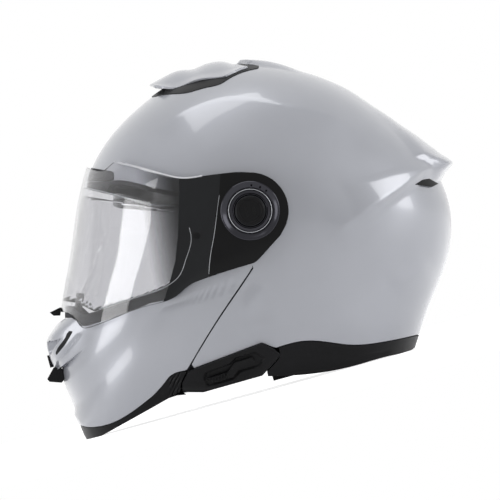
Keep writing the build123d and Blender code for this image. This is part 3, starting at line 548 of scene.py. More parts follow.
def tone(red: int, green: int, blue: int) -> tuple[float, float, float, float]:
    """A display colour from 0 to 255 as Blender's linear one."""
    def line(value: int) -> float:
        """One channel."""
        share = value / 255
        return share / 12.92 if share <= 0.04045 else ((share + 0.055) / 1.055) ** 2.4
    return line(red), line(green), line(blue), 1.0


class Recipe:
    """A node material in the making, read on Object coordinates."""

    def __init__(self, name: str) -> None:
        """Starts a material with a Principled shader, read on Object coordinates."""
        self.material = bpy.data.materials.new(name)
        self.material.use_nodes = True
        self.tree = self.material.node_tree
        self.shader = self.tree.nodes["Principled BSDF"]
        self.place = self.add("ShaderNodeTexCoord").outputs["Object"]

    def put(self, node: bpy.types.Node, **values: object) -> bpy.types.Node:
        """Sets or links a node's sockets and properties.

        Args:
            node: the node.
            values: properties by name, and sockets by name with spaces as underscores.

        Returns:
            The same node.
        """
        for name, value in values.items():
            socket = node.inputs.get(name.replace("_", " "))
            if hasattr(value, "is_output"):
                self.tree.links.new(value, socket)
            elif socket is not None and not hasattr(node, name):
                socket.default_value = value
            else:
                setattr(node, name, value)
        return node

    def add(self, kind: str, **values: object) -> bpy.types.Node:
        """A new node of a kind, with its properties and sockets set as put does."""
        return self.put(self.tree.nodes.new(kind), **values)

    def set(self, **values: object) -> None:
        """Sets or links the shader's sockets."""
        self.put(self.shader, **values)

    def join(self, operation: str, *values: object, kind: str = "ShaderNodeMath") -> Socket:
        """The result of an operation.

        Args:
            operation: the operation's name.
            values: sockets and numbers, in order.
            kind: the node's type.

        Returns:
            The result.
        """
        node = self.add(kind, operation=operation)
        for socket, value in zip(node.inputs, values):
            if hasattr(value, "is_output"):
                self.tree.links.new(value, socket)
            else:
                socket.default_value = value
        return node.outputs["Value"]

    def ramp(self, value: Socket, low: tuple, high: tuple, start: float = 0.3,
             end: float = 0.7) -> Socket:
        """A colour that goes from one to another with a value.

        Args:
            value: the value.
            low: the first colour, linear.
            high: the last colour, linear.
            start: the value at which it starts to change.
            end: the value at which it has changed.

        Returns:
            The colour.
        """
        node = self.add("ShaderNodeValToRGB", Fac=value)
        for stop, place, colour in zip(node.color_ramp.elements, (start, end), (low, high)):
            stop.position, stop.color = place, colour
        return node.outputs["Color"]

    def span(self, value: Socket, low: float, high: float) -> Socket:
        """A number from low to high with a value from 0 to 1."""
        node = self.add("ShaderNodeMapRange", To_Min=low, To_Max=high, Value=value)
        return node.outputs["Result"]

    def noise(self, scale: float, detail: float = 2.0) -> Socket:
        """Cloudy noise, in lumps per metre."""
        return self.add("ShaderNodeTexNoise", Vector=self.place, Scale=scale, Detail=detail).outputs["Fac"]

    def bump(self, height: Socket, depth: float, strength: float = 1.0) -> None:
        """Adds a relief to the surface.

        Args:
            height: its height, from 0 to 1.
            depth: metres from the lowest to the highest.
            strength: how much of it shows.
        """
        before = self.shader.inputs["Normal"].links
        node = self.add("ShaderNodeBump", Strength=strength, Distance=depth, Height=height)
        if before:
            self.tree.links.new(before[0].from_socket, node.inputs["Normal"])
        self.tree.links.new(node.outputs["Normal"], self.shader.inputs["Normal"])


@dataclass(frozen=True)
class Finish:
    """A finish with a name and a colour."""

    name: str
    colour: Tone

    def dress(self, r: Recipe) -> None:
        """Sets up the recipe's shader."""
        raise NotImplementedError

    def material(self) -> bpy.types.Material:
        """Its node material."""
        r = Recipe(self.name)
        self.dress(r)
        return r.material


@dataclass(frozen=True)
class Toned(Finish):
    """A finish whose colour wanders towards a second one."""

    shade: Tone

    def tones(self, r: Recipe, value: Socket, start: float = 0.3, end: float = 0.7) -> Socket:
        """The colour between the two, by a value."""
        return r.ramp(value, tone(*self.shade), tone(*self.colour), start, end)


@dataclass(frozen=True)
class Paint(Toned):
    """Gloss paint under a clear coat."""

    def dress(self, r: Recipe) -> None:
        """Faintly clouded, with a fine orange peel."""
        r.set(Base_Color=self.tones(r, r.noise(14, 3)), Metallic=0.25, Coat_Weight=0.8, Coat_Roughness=0.05,
              Roughness=r.span(r.noise(60), 0.30, 0.38), Specular_IOR_Level=0.3)
        r.bump(r.noise(420), 0.00004, 0.15)


@dataclass(frozen=True)
class Moulded(Toned):
    """Moulded plastic or rubber with a fine grain."""

    rough: tuple[float, float]
    grain: float = 1800.0
    depth: float = 0.00006
    specular: float = 0.4

    def dress(self, r: Recipe) -> None:
        """Grained, and rougher here than there."""
        r.set(Base_Color=self.tones(r, r.noise(30, 4)), Roughness=r.span(r.noise(90, 3), *self.rough),
              Specular_IOR_Level=self.specular)
        r.bump(r.noise(self.grain, 3), self.depth, 0.5)


@dataclass(frozen=True)
class Beads(Toned):
    """Moulded foam of small beads pressed together."""

    per_metre: float = 260.0

    def dress(self, r: Recipe) -> None:
        """One tone for each bead, with sunk seams between them."""
        cells, seams = (r.add("ShaderNodeTexVoronoi", Vector=r.place, Scale=self.per_metre, feature=feature)
                        for feature in ("F1", "DISTANCE_TO_EDGE"))
        tint = r.add("ShaderNodeSeparateColor", Color=cells.outputs["Color"])
        r.set(Base_Color=self.tones(r, tint.outputs["Red"], 0.0, 1.0), Roughness=0.85,
              Specular_IOR_Level=0.25)
        r.bump(seams.outputs["Distance"], 0.004, 0.6)


@dataclass(frozen=True)
class Cloth(Toned):
    """Knitted or woven lining with a soft sheen."""

    threads: float = 900.0
    sheen: float = 0.35
    depth: float = 0.00018

    def dress(self, r: Recipe) -> None:
        """Threads crossing each other, over soft lumps."""
        warp = r.add("ShaderNodeTexWave", Vector=r.place, Scale=self.threads / 6.3, Distortion=0.6,
                     Detail_Scale=3.0, bands_direction="DIAGONAL")
        turn = r.add("ShaderNodeMapping", Vector=r.place, Rotation=(0.4, 1.2, 1.57))
        weft = r.add("ShaderNodeTexWave", Vector=turn.outputs["Vector"], Scale=self.threads / 6.3,
                     Distortion=0.6, bands_direction="DIAGONAL")
        r.set(Base_Color=self.tones(r, r.noise(120, 4)), Roughness=0.9, Specular_IOR_Level=0.15,
              Sheen_Weight=self.sheen, Sheen_Roughness=0.5)
        r.bump(r.join("MULTIPLY", warp.outputs["Fac"], weft.outputs["Fac"]), self.depth, 0.7)
        r.bump(r.noise(60, 3), 0.0006, 0.25)


@dataclass(frozen=True)
class Metal(Finish):
    """Machined or brushed metal."""

    rough: tuple[float, float] = (0.22, 0.38)

    def dress(self, r: Recipe) -> None:
        """Brushed along one direction."""
        stretched = r.add("ShaderNodeMapping", Vector=r.place, Scale=(1, 1, 14))
        brush = r.add("ShaderNodeTexNoise", Vector=stretched.outputs["Vector"], Scale=400, Detail=3.0)
        r.set(Base_Color=tone(*self.colour), Metallic=1.0,
              Roughness=r.span(brush.outputs["Fac"], *self.rough))
        r.bump(brush.outputs["Fac"], 0.00002, 0.3)


@dataclass(frozen=True)
class Clear(Finish):
    """Clear or tinted polycarbonate, which may darken from one pixel of the side view to another as painted
    shade of the helmet's dark inside seen through it.
    """

    rough: float = 0.0
    index: float = 1.45
    dark: Tone = (60, 62, 66)
    fade: tuple[Pixel, Pixel] | None = None

    def dress(self, r: Recipe) -> None:
        """Lets light through, less of it along the fade, where the darkening is painted shade."""
        r.set(Base_Color=tone(*self.colour), Transmission_Weight=1.0, IOR=self.index,
              Roughness=r.span(r.noise(18, 3), self.rough, self.rough + 0.02))
        # Painted shade: the colour turns to the dark tone along the fade, standing in for the shaded inside
        # of the helmet seen through the glass.
        if self.fade:
            start, end = (np.array(SIDE.place(*p)) for p in self.fade)
            way = (end - start) / float((end - start) @ (end - start))
            along = r.join("DOT_PRODUCT", r.place, (way[0], 0, way[1]), kind="ShaderNodeVectorMath")
            share = r.join("SUBTRACT", along, float(start @ way))
            r.set(Base_Color=r.ramp(share, tone(*self.colour), tone(*self.dark), 0.0, 1.0))


class Look(Enum):
    """The helmet's finishes."""

    PAINT = Paint("silver_gloss_paint", (170, 172, 179), (164, 166, 173))
    SATIN = Moulded("satin_black_plastic", (19, 19, 21), (14, 14, 15), (0.34, 0.48), specular=0.12)
    GLOSS = Moulded("gloss_black_side", (14, 14, 16), (9, 9, 10), (0.05, 0.10), 300, 0.00001, 0.13)
    RUBBER = Moulded("trim_rubber", (24, 24, 26), (17, 17, 18), (0.5, 0.66), 1200, 0.0001, 0.15)
    EPS = Beads("bead_foam", (40, 41, 44), (33, 34, 37))
    LINING = Cloth("knit_lining", (44, 45, 49), (30, 31, 34))
    WEBBING = Cloth("strap_webbing", (26, 26, 28), (18, 18, 20), 1500, 0.2)
    STEEL = Metal("zinc_steel", (168, 170, 174))
    ALLOY = Metal("dark_alloy", (70, 72, 76))
    # Painted shade: the clear visor darkens towards its black sides, where the helmet's shaded inside shows
    # through.
    CLEAR = Clear("clear_visor", (234, 234, 236), fade=((146, 236), (182, 230)))
    INSERT = Clear("insert_sheet", (246, 246, 247), 0.0, 1.4)
    # Painted shade: an opaque dark band on the visor for the helmet's shaded inside seen through it.
    SMOKE = Moulded("smoke_print", (24, 26, 29), (20, 21, 24), (0.04, 0.08), 300, 0.00001, 0.2)
    # Painted highlight: a light grey tube along the visor's top edge, where the edge catches the light.
    RIM = Moulded("visor_rim_clear", (214, 215, 219), (204, 205, 210), (0.1, 0.16), 300, 0.00001, 0.5)
    RING = Metal("dark_ring_metal", (50, 50, 54), (0.14, 0.22))
    LEATHER = Moulded("soft_black_trim", (30, 30, 32), (22, 22, 24), (0.45, 0.6), 900, 0.00025, 0.3)
    # Grey bead round the insert, also used for light lines that are painted highlights.
    BEAD = Moulded("insert_bead_grey", (176, 178, 182), (160, 162, 166), (0.3, 0.4))
    TINT = Clear("smoke_tint", (70, 72, 74))
    RED = Moulded("button_red_plastic", (176, 24, 22), (160, 18, 18), (0.3, 0.42))

    @property
    def material(self) -> bpy.types.Material:
        """This finish's material, made once."""
        return bpy.data.materials.get(self.value.name) or self.value.material()


SLOT_LOOKS: dict[str, Look] = {
    "shell_paint": Look.PAINT, "black_plastic": Look.SATIN, "trim_rubber": Look.RUBBER, "foam": Look.EPS,
    "lining": Look.LINING, "webbing": Look.WEBBING, "steel": Look.STEEL, "axle_metal": Look.ALLOY,
    "visor_clear": Look.CLEAR, "insert_clear": Look.INSERT, "sun_tint": Look.TINT, "button_red": Look.RED,
}


# Outlines shared by neighbours


def straight(*pixels: Pixel) -> tuple[Run, ...]:
    """The straight runs that join a row of pixels."""
    return tuple((pixels[i], pixels[i + 1]) for i in range(len(pixels) - 1))


def stretch(stops: Sequence[float], counts: Sequence[int]) -> Array:
    """Places from stop to stop, evenly spaced between two stops.

    Args:
        stops: the stops.
        counts: how many spaces lie between each two.

    Returns:
        All the places, in order.
    """
    spans = [np.linspace(a, b, n, endpoint=False) for a, b, n in zip(stops, stops[1:], counts)]
    return np.concatenate(spans + [np.array([stops[-1]])])


BROW: Run = ((40, 182), (84, 182), (104, 182.5), (118, 181), (150, 187), (180, 193), (222, 202))
SHELL_SEAM: Run = ((257, 262.8), (245.4, 280.6), (219.8, 318.2), (188.7, 369.3))
POD_TOP: Run = ((188.7, 369.3), (262, 341.5), (275, 347))
SHELL_BOTTOM: Run = ((275, 347), (303, 340), (323.8, 340.6), (349.3, 343.8), (381, 341.4), (400, 338))
CHIN_TOP: Run = ((40, 318), (58, 319.5), (76, 319.5), (84.5, 325.8), (91, 325), (150, 303.5))
CHIN_SHOULDER: Run = ((150, 303.5), (177, 294), (190, 283), (199, 279.3))
CHIN_SEAM: Run = ((256, 262), (244, 280), (218.6, 317.5), (187.5, 369))
CHIN_BOTTOM: Run = ((187.5, 369), (170.6, 375), (165.6, 381.2), (154.4, 393.9))
CHIN_NOSE: Run = ((154.4, 393.9), (95, 426.2), (86, 426), (60, 412))
TRIM_NOSE: Run = ((154.6, 394.4), (95, 426.8), (86, 426.6), (60, 412.6))
BASE_TOP: Run = ((275.6, 347.9), (303, 340.8), (323.8, 341.4), (349.3, 344.6), (381, 342.2), (400, 338.8),
                 (420, 334.9))
BASE_LOW: Run = ((398, 353.7), (389, 355.4), (355.7, 364.5), (323.8, 371.2), (290, 374.6), (263, 375.3))
VISOR_TOP: Run = ((250.3, 173.3), (240, 172.8), (225, 174), (205, 176.5), (185, 179), (165, 175.5),
                  (140, 169.5), (115, 162.5), (104, 171), (86, 166.8))
VISOR_LOW: Run = ((62, 312), (70, 313), (78, 321.6), (84, 327.6), (91, 326.6), (150, 305.2), (177, 296),
                  (190, 285), (199, 280.8), (254, 263))
POD: Run = ((189, 370.6), (262, 342.8), (274.6, 348.6), (281, 354), (262.4, 374.6), (204, 391.2), (186, 391),
            (183.2, 390), (183, 382.4))
TRIM_LOW: Run = ((50, 445), (96, 438), (104.4, 434), (150, 408.3), (180.8, 390.6), (181.5, 382))


def all_of(*fields: Field) -> Field:
    """Depth inside every one of the fields."""
    return lambda p: np.min([field(p) for field in fields], axis=0)


def any_of(*fields: Field) -> Field:
    """Depth inside at least one of the fields."""
    return lambda p: np.max([field(p) for field in fields], axis=0)


def outside(field: Field) -> Field:
    """Depth outside a field."""
    return lambda p: -field(p)


def above(height: float) -> Field:
    """Depth above a height."""
    return lambda p: p[:, 2] - height


def shell_piece(name: str, bm: Draft, fields: Sequence[Field], wall: float, body: str,
                slot: str, *nodes: str, edge: float = 0.0005, look: Look | None = None) -> Piece:
    """A piece cut out of a round body's surface and given a wall.

    Args:
        name: the piece's name.
        bm: the surface, which is cut and freed.
        fields: what stays is inside each of them.
        wall: the wall's thickness inwards.
        body: the body that it rides on.
        slot: the record's material slot.
        nodes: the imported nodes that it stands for.
        edge: the rounding of its rim.
        look: its finish, if not its slot's.

    Returns:
        The piece.
    """
    for field in fields:
        trim(bm, field)
    piece = walled(place_piece(name, bm, body, slot, *nodes), wall, edge)
    return coat(piece, (look or SLOT_LOOKS[slot]).material)


def mirror_pair(left: Piece, name: str, body: str, slot: str, *nodes: str) -> Piece:
    """The right-hand twin of a left-hand piece, with the same modifiers and materials.

    Args:
        left: the left-hand piece.
        name: the twin's name.
        body: the body that it rides on.
        slot: the record's material slot.
        nodes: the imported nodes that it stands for.

    Returns:
        The twin.
    """
    bm = bmesh.new()
    bm.from_mesh(left.data)
    bmesh.ops.scale(bm, vec=(1, -1, 1), verts=bm.verts)
    bmesh.ops.reverse_faces(bm, faces=bm.faces)
    twin = place_piece(name, bm, body, slot, *nodes)
    for old in left.modifiers:
        new = twin.modifiers.new(old.name, old.type)
        for field in old.bl_rna.properties:
            if not field.is_readonly and field.identifier not in ("name", "type"):
                setattr(new, field.identifier, getattr(old, field.identifier))
    return coat(twin, *left.data.materials)


# Outer shell


@dataclass
class OuterShell:
    """The painted shell with its wing and crown hump, and the seal under its brow."""

    wall: float = 0.0034
    ear_radius: float = 0.040
    axle_hole: float = 0.0121
    wing_stops: tuple[float, ...] = (-14, -8, 4, 14, 90, 200, 346)
    wing_counts: tuple[int, ...] = (8, 22, 10, 46, 60, 96)
    creases: tuple[Relief, ...] = (
        Relief(((150, 136), (165.6, 126.9), (183, 118), (198.9, 110.9), (212.7, 106.3), (227.6, 103.5),
                (250.6, 103.5), (267.8, 105.9), (290.7, 110.6), (310.8, 114.6), (332.5, 122.5), (362, 134)),
               0.0040, 0.030, 0.050, 0.2, True),
        Relief(((325, 244), (343.4, 226.6), (369.4, 204.9), (382.4, 195.2), (398, 185)),
               0.0034, 0.026, 0.042, 0.3, True),
        Relief(((234.9, 330.4), (258, 328.5), (286.3, 320.4)), 0.0018, 0.010, 0.022, 0.3, True),
        Relief(((240.7, 314.6), (252, 300), (265.6, 288)), 0.0014, 0.018, 0.010, 0.3, True),
        Relief(((385.8, 286.4), (408, 275.5), (431.4, 259.6)), 0.0018, 0.022, 0.022, 0.3, True),
    )
    hang: Outline = polygon((60, 182.6), (84, 182.6), (104, 183), (113, 182.2), (108.6, 193.6), (98, 191.6),
                            (80, 185.6), (60, 185))
    gasket: Outline = polygon((60, 162), (86.6, 167.2), (114.6, 172.2), (115.2, 181.2), (104, 182.2),
                              (84, 181.7), (60, 181.7))
    ridge_shares: tuple[float, ...] = (0.50, 0.63, 0.70, 0.83, 0.90, 1.0)
    ridge_angles: tuple[float, ...] = (-24.7, -12.3, -8.5, -3.8, -1.9, -1.9)
    groove_angles: tuple[float, ...] = (-1.8, 3.0, 7.6, 15.7, 21.0, 25.6, 32.9)
    groove_shares: tuple[float, ...] = (0.94, 0.906, 0.925, 0.95, 0.957, 0.972, 0.975)
    wing_profile: tuple[tuple[float, float], ...] = (
        (-9, 0.0), (-6.4, 0.0), (-4.2, 0.018), (-2.4, 0.0425), (-1.6, 0.0455), (0, 0.0395), (1.3, 0.0325),
        (5.4, 0.0225), (14.3, 0.0092), (24, 0.0045), (34.8, 0.0045), (45, 0.0015), (55, 0.0))
    under_angles: tuple[float, ...] = (-4.5, -2.3, -0.5, 0.0)
    under_shares: tuple[float, ...] = (0.0, 0.4, 0.93, 1.0)
    lip_angle: float = -1.6
    facet_most: float = 0.45
    facet_start: float = 0.5
    facet_reach: float = 0.43
    groove_reach: float = 0.045
    hump_ends: tuple[Pixel, ...] = ((235.2, 60.2), (300, 70))
    hump_half: float = 0.030
    hump_sweep: float = 0.018
    hump_step: float = 0.0012
    hump_height: float = 0.0036
    hump_swell: float = 0.0012
    hump_floor: float = 0.18
    hump_arrow: float = 1.6
    hump_fall: float = 1.1
    hump_flank: float = 2.2
    hump_round: float = 0.8
    strip: Outline = polygon((259, 264), (255, 275), (228, 318), (194, 371), (184, 371), (216, 316),
                             (240, 278), (250, 264))
    strip_inset: float = 0.0042
    strip_wall: float = 0.0004
    seal_height: float = 4.1
    seal_gap: float = 0.5
    seal_wall: float = 0.0044
    gasket_wall: float = 0.0006
    ear_gap: float = 0.0003

    def surface(self) -> Draft:
        """The whole outer surface, with the hump, wing and creases raised on it."""
        angles = stretch(self.wing_stops, self.wing_counts)
        shares = superspaced(141)
        return dome_grid(SHELL, 0, angles, shares, self.creases + (self.wing, self.hump))

    def wing(self, places: Array, angle: Array, share: Array) -> Array:
        """The wing's height over the shell: a lip at the back over a ridge, with a groove on each side."""
        turn = (angle + 180) % 360 - 180
        near = np.hypot(places[:, 0] - PIVOT[0], places[:, 2] - PIVOT[1]) / SHELL.shape(angle)[0]
        ridge = np.interp(near, self.ridge_shares, self.ridge_angles)
        groove = np.interp(turn, self.groove_angles, self.groove_shares)
        under = np.interp(turn - ridge, self.under_angles, self.under_shares)
        degrees, radii = zip(*self.wing_profile)
        rise = np.interp(np.maximum(turn, self.lip_angle), degrees, radii) * SIDE.length
        facet = self.facet_most * np.clip((near - self.facet_start) / self.facet_reach, 0, 1)
        top = np.clip((near - groove) / self.groove_reach, 0, 1)
        return rise * under * (facet + (1 - facet) * ease(top))

    def hump(self, places: Array, angle: Array, share: Array) -> Array:
        """The crown hump behind the scoop, with a steep front in the shape of an arrow."""
        across = np.abs(places[:, 1]) / self.hump_half
        front, tail = (SIDE.place(*pixel)[0] for pixel in self.hump_ends)
        front = front + self.hump_sweep * across**self.hump_arrow
        ahead = np.clip((places[:, 0] - front) / self.hump_step, 0, 1)
        along = np.clip((places[:, 0] - front) / (tail - front), 0, 1)
        height = self.hump_height * (1 - along) ** self.hump_fall + self.hump_swell * np.sin(math.pi * along)
        side = np.clip(self.hump_flank * np.clip(1 - across, 0, 1), 0, 1) ** self.hump_round
        return np.where(places[:, 2] > self.hump_floor, height * ahead * side, 0)

    def build(self) -> None:
        """Makes the shell, the strip behind its seam, and the seals under its brow."""
        side = joined(BROW, SHELL_SEAM, *straight(*POD_TOP), SHELL_BOTTOM,
                      *straight((400, 338), (419, 334), (480, 326), (480, 30), (40, 30)))
        cut = all_of(any_of(side.depth, disc(self.ear_radius)), outside(disc(self.axle_hole)))
        shell_piece("shell_skin", self.surface(), [cut], self.wall, "shell", "shell_paint",
                    "outer_shell", "rear_spoiler", "crown_cover", edge=0.0006)
        behind = dome_grid(SHELL, self.strip_inset, stretch((224, 276), (80,)), np.linspace(-0.99, -0.6, 60))
        left = shell_piece("seam_strip_left", behind, [self.strip.depth], self.strip_wall, "shell",
                           "trim_rubber", edge=0)
        mirror_pair(left, "seam_strip_right", "shell", "trim_rubber")
        brow = moved(BROW, self.seal_gap)
        strip = joined(brow, tuple(reversed(moved(brow, self.seal_height))))
        seal = dome_grid(SHELL, -0.0005, np.linspace(132, 200, 90), superspaced(141))
        under = all_of(strip.depth, outside(disc(self.ear_radius + self.ear_gap)))
        shell_piece("brow_seal", seal, [any_of(under, self.hang.depth)], self.seal_wall, "shell",
                    "trim_rubber", "eyeport_seal", edge=0.0006)
        gasket = dome_grid(SHELL, -0.0007, np.linspace(132, 182, 60), superspaced(121))
        shell_piece("brow_gasket", gasket, [self.gasket.depth], self.gasket_wall, "shell", "trim_rubber",
                    edge=0.0002)


# Vent on the crown


@dataclass
class CrownVent:
    """The black base on the crown and the painted scoop that slides over it."""

    top: Run = ((149.9, 84.6), (165, 76.4), (181.8, 70.1), (192.5, 69.4), (202, 65.4), (211.5, 62.4),
                (224, 61.7), (233, 64.2))
    low: Run = ((149.9, 86), (162, 87.6), (179.4, 88.2), (189.7, 83.8), (203.5, 79.6), (225.3, 77.2),
                (237.9, 71), (248.3, 67.6))
    base_low: Run = ((151.8, 97), (170.2, 94.6), (186.3, 93.6), (205, 88.6), (221.8, 84.1), (227.6, 80.4),
                     (244.8, 72), (258.8, 68.6))
    stations: tuple[Pixel, ...] = ((149.9, 85), (163, 87), (195, 82), (226, 77), (250, 68), (262, 68))
    widths: tuple[float, ...] = (0.029, 0.0395, 0.0505, 0.0585, 0.0385, 0.026)
    scoop_grid: tuple[int, int] = (72, 44)
    scoop_wall: float = 0.0022
    scoop_rise: float = 0.0008
    nose_sweep: float = 0.004
    plate_rise: float = 0.0006
    plate_wall: float = 0.0009
    notch: Pixel = (243, 64)
    notch_sweep: float = 0.010
    notch_half: float = 0.026
    ridge: float = 0.8
    ridge_drop: float = 0.72
    ridge_power: float = 2.4
    tail_arrow: float = 1.6

    def half_width(self, x: Array) -> Array:
        """The vent's half width at a place along the helmet."""
        return np.interp(x, [SIDE.place(*p)[0] for p in self.stations], self.widths)

    def levels(self, run: Run, x: Array) -> Array:
        """The height of a side-view run over each place along the helmet."""
        line = np.array([SIDE.place(*p) for p in spline(run)])
        return np.interp(x, line[:, 0], line[:, 1])

    def scoop(self) -> None:
        """The painted scoop: crowned in the middle, drooping to its two side edges."""
        bm = plane(*self.scoop_grid)
        start, end, middle = (SIDE.place(*p)[0] for p in (self.low[0], self.low[-1], self.top[-1]))
        for vert in bm.verts:
            along, across = (vert.co.x + 1) / 2, abs(vert.co.y)
            tail = middle + (end - middle) * across**self.tail_arrow
            x = start + (tail - start) * along + self.nose_sweep * across**2 * (1 - along)
            width = float(self.half_width(np.array([x]))[0])
            top, low = (float(self.levels(run, np.array([x]))[0]) for run in (self.top, self.low))
            inner = self.ridge_drop * (min(across, self.ridge) / self.ridge) ** self.ridge_power
            droop = inner + (1 - self.ridge_drop) * max(0.0, across - self.ridge) / (1 - self.ridge)
            vert.co = Vector((x, vert.co.y * width, top + (low + self.scoop_rise - top) * droop))
        bmesh.ops.recalc_face_normals(bm, faces=bm.faces)
        face_out(bm)
        scoop = place_piece("scoop_skin", bm, "top_vent", "shell_paint", "top_vent_scoop")
        coat(walled(scoop, self.scoop_wall, 0.0007), Look.PAINT.material)

    def ahead(self, places: Array) -> Array:
        """The depth ahead of the notch at the back of the base."""
        front = SIDE.place(*self.notch)[0]
        return front + self.notch_sweep * (np.abs(places[:, 1]) / self.notch_half) ** 2 - places[:, 0]

    def base(self) -> None:
        """The black base plate under the scoop."""
        line = tuple(tuple(p) for p in spline(self.base_low))
        over = Outline(straight(*line, (262, 40), (120, 40), line[0]))
        bm = dome_grid(SHELL, -self.plate_rise, np.linspace(62, 128, 90), np.linspace(-0.66, 0.66, 150),
                       OuterShell.creases[:1])
        shell_piece("vent_base_plate", bm, [over.depth, self.ahead], self.plate_wall, "shell",
                    "black_plastic", "top_vent_base", edge=0.0003)

    def build(self) -> None:
        """Makes the base and the scoop."""
        self.base()
        self.scoop()


# Bottom trims and side pods


@dataclass
class LowerTrim:
    """Satin black trims round the bottom edge, the side pods and the sun visor's slider."""

    seat: float = 0.0002
    floor: float = 0.00005
    base_wall: float = 0.0088
    base_line: Relief = Relief(((295, 349.5), (320, 351.5), (352, 355.5), (392, 351)), -0.0012, 0.0022,
                               0.0022, 0.1)
    recess: Outline = polygon((204.5, 377), (206.5, 372.2), (230.5, 363.2), (236, 357.4), (255, 352),
                              (264, 357.6), (259.5, 365), (240, 371), (233, 378.5), (208, 386))
    recess_depth: float = 0.0018
    recess_slope: float = 0.0008
    pod_low: Run = ((183, 391), (204, 391.2), (262.4, 374.6), (281, 354))
    pod_rise: float = 0.0032
    pod_wall: float = 0.0074
    pod_bevel: float = 0.003
    bevel_reach: float = 0.010
    thumb: Outline = polygon((206, 378.4), (228, 371.4), (235, 361.8), (252, 356.4), (255.5, 361),
                             (240, 366.6), (233, 376), (208.5, 383.8))
    thumb_rise: float = 0.0052
    thumb_wall: float = 0.0016
    rib_height: float = 0.0007
    thumb_ribs_end: float = 229
    chin_wall: float = 0.0135
    chin_ribs: Pixel = (169, 182)
    button_pixel: Pixel = (97.5, 423.5)
    button_half: Pixel = (0.0124, 0.0044)

    def base_trim(self) -> None:
        """The trim round the back of the bottom edge."""
        rear = straight((420, 334.9), (427, 335), (422.6, 342), (411, 350.2), (398, 353.7))
        side = joined(BASE_TOP, *rear, BASE_LOW, *straight((263, 375.3), (282, 354.4), (275.6, 347.9)))
        bm = dome_grid(SHELL, self.seat, stretch((254, 316), (110,)), superspaced(151), (self.base_line,))
        shell_piece("bottom_trim", bm, [all_of(side.depth, above(self.floor))], self.base_wall, "shell",
                    "trim_rubber", "base_trim", edge=0.0009, look=Look.SATIN)

    def bevel(self, places: Array, angle: Array, share: Array) -> Array:
        """How far the pod's surface falls back towards its low edge."""
        distance, _ = run_distance(places, self.pod_low)
        return -self.pod_bevel * (1 - np.clip(-distance / self.bevel_reach, 0, 1)) ** 2

    def sunk(self, places: Array, angle: Array, share: Array) -> Array:
        """The slider's recess in the pod."""
        return -self.recess_depth * np.clip(self.recess.depth(places) / self.recess_slope + 0.5, 0, 1)

    def pod(self) -> None:
        """One side pod with its slider's recess, and its twin."""
        bm = dome_grid(SHELL, -self.pod_rise, stretch((229, 270), (100,)), np.linspace(-0.975, -0.79, 130),
                       (self.sunk, self.bevel))
        left = shell_piece("pod_left", bm, [polygon(*POD).depth], self.pod_wall, "shell", "black_plastic",
                           "side_pod_left", edge=0.0008)
        mirror_pair(left, "pod_right", "shell", "black_plastic", "side_pod_right")

    def thumb_ribs(self, places: Array, angle: Array, share: Array) -> Array:
        """Upright ribs on the front part of the slider."""
        column = SIDE.pixels(places)[:, 0]
        return self.rib_height * (np.cos(column * math.pi / 1.5) > 0.2) * (column < self.thumb_ribs_end)

    def slider(self) -> None:
        """The sun visor's slider with its thumb ribs."""
        bm = dome_grid(SHELL, -self.thumb_rise, stretch((235, 261), (110,)), np.linspace(-0.98, -0.88, 100),
                       (self.thumb_ribs,))
        shell_piece("sun_slider_thumb", bm, [self.thumb.depth], self.thumb_wall, "sun_slider_body",
                    "black_plastic", "sun_visor_slider", edge=0.0004)

    def trim_ribs(self, places: Array, angle: Array, share: Array) -> Array:
        """Slanting grooves at the back of the chin trim."""
        column, row = SIDE.pixels(places).T
        first, last = self.chin_ribs
        groove = np.cos((row + 0.42 * column) * math.pi / 1.3) > 0.5
        return -self.rib_height * groove * np.clip(np.minimum(column - first, last - column), 0, 1)

    def beside_button(self, places: Array) -> Array:
        """The depth outside the release button's opening."""
        (half, tall), level = self.button_half, SIDE.place(*self.button_pixel)[1]
        return -np.minimum(half - np.abs(places[:, 1]), tall - np.abs(places[:, 2] - level))

    def chin_trim(self) -> None:
        """The trim under the chin bar, with the release button's opening."""
        top = moved(CHIN_BOTTOM, 0.5)
        side = joined(top, TRIM_NOSE, *straight(TRIM_NOSE[-1], *TRIM_LOW, top[0]))
        bm = dome_grid(SHELL, self.seat, stretch((209, 238), (110,)), superspaced(181), (self.trim_ribs,))
        shell_piece("chin_edge_trim", bm, [all_of(side.depth, above(self.floor)), self.beside_button],
                    self.chin_wall, "chin_bar_body", "trim_rubber", "chin_trim", edge=0.0008,
                    look=Look.SATIN)

    def build(self) -> None:
        """Makes the trims, pods and slider."""
        self.base_trim()
        self.pod()
        self.slider()
        self.chin_trim()


# Chin bar


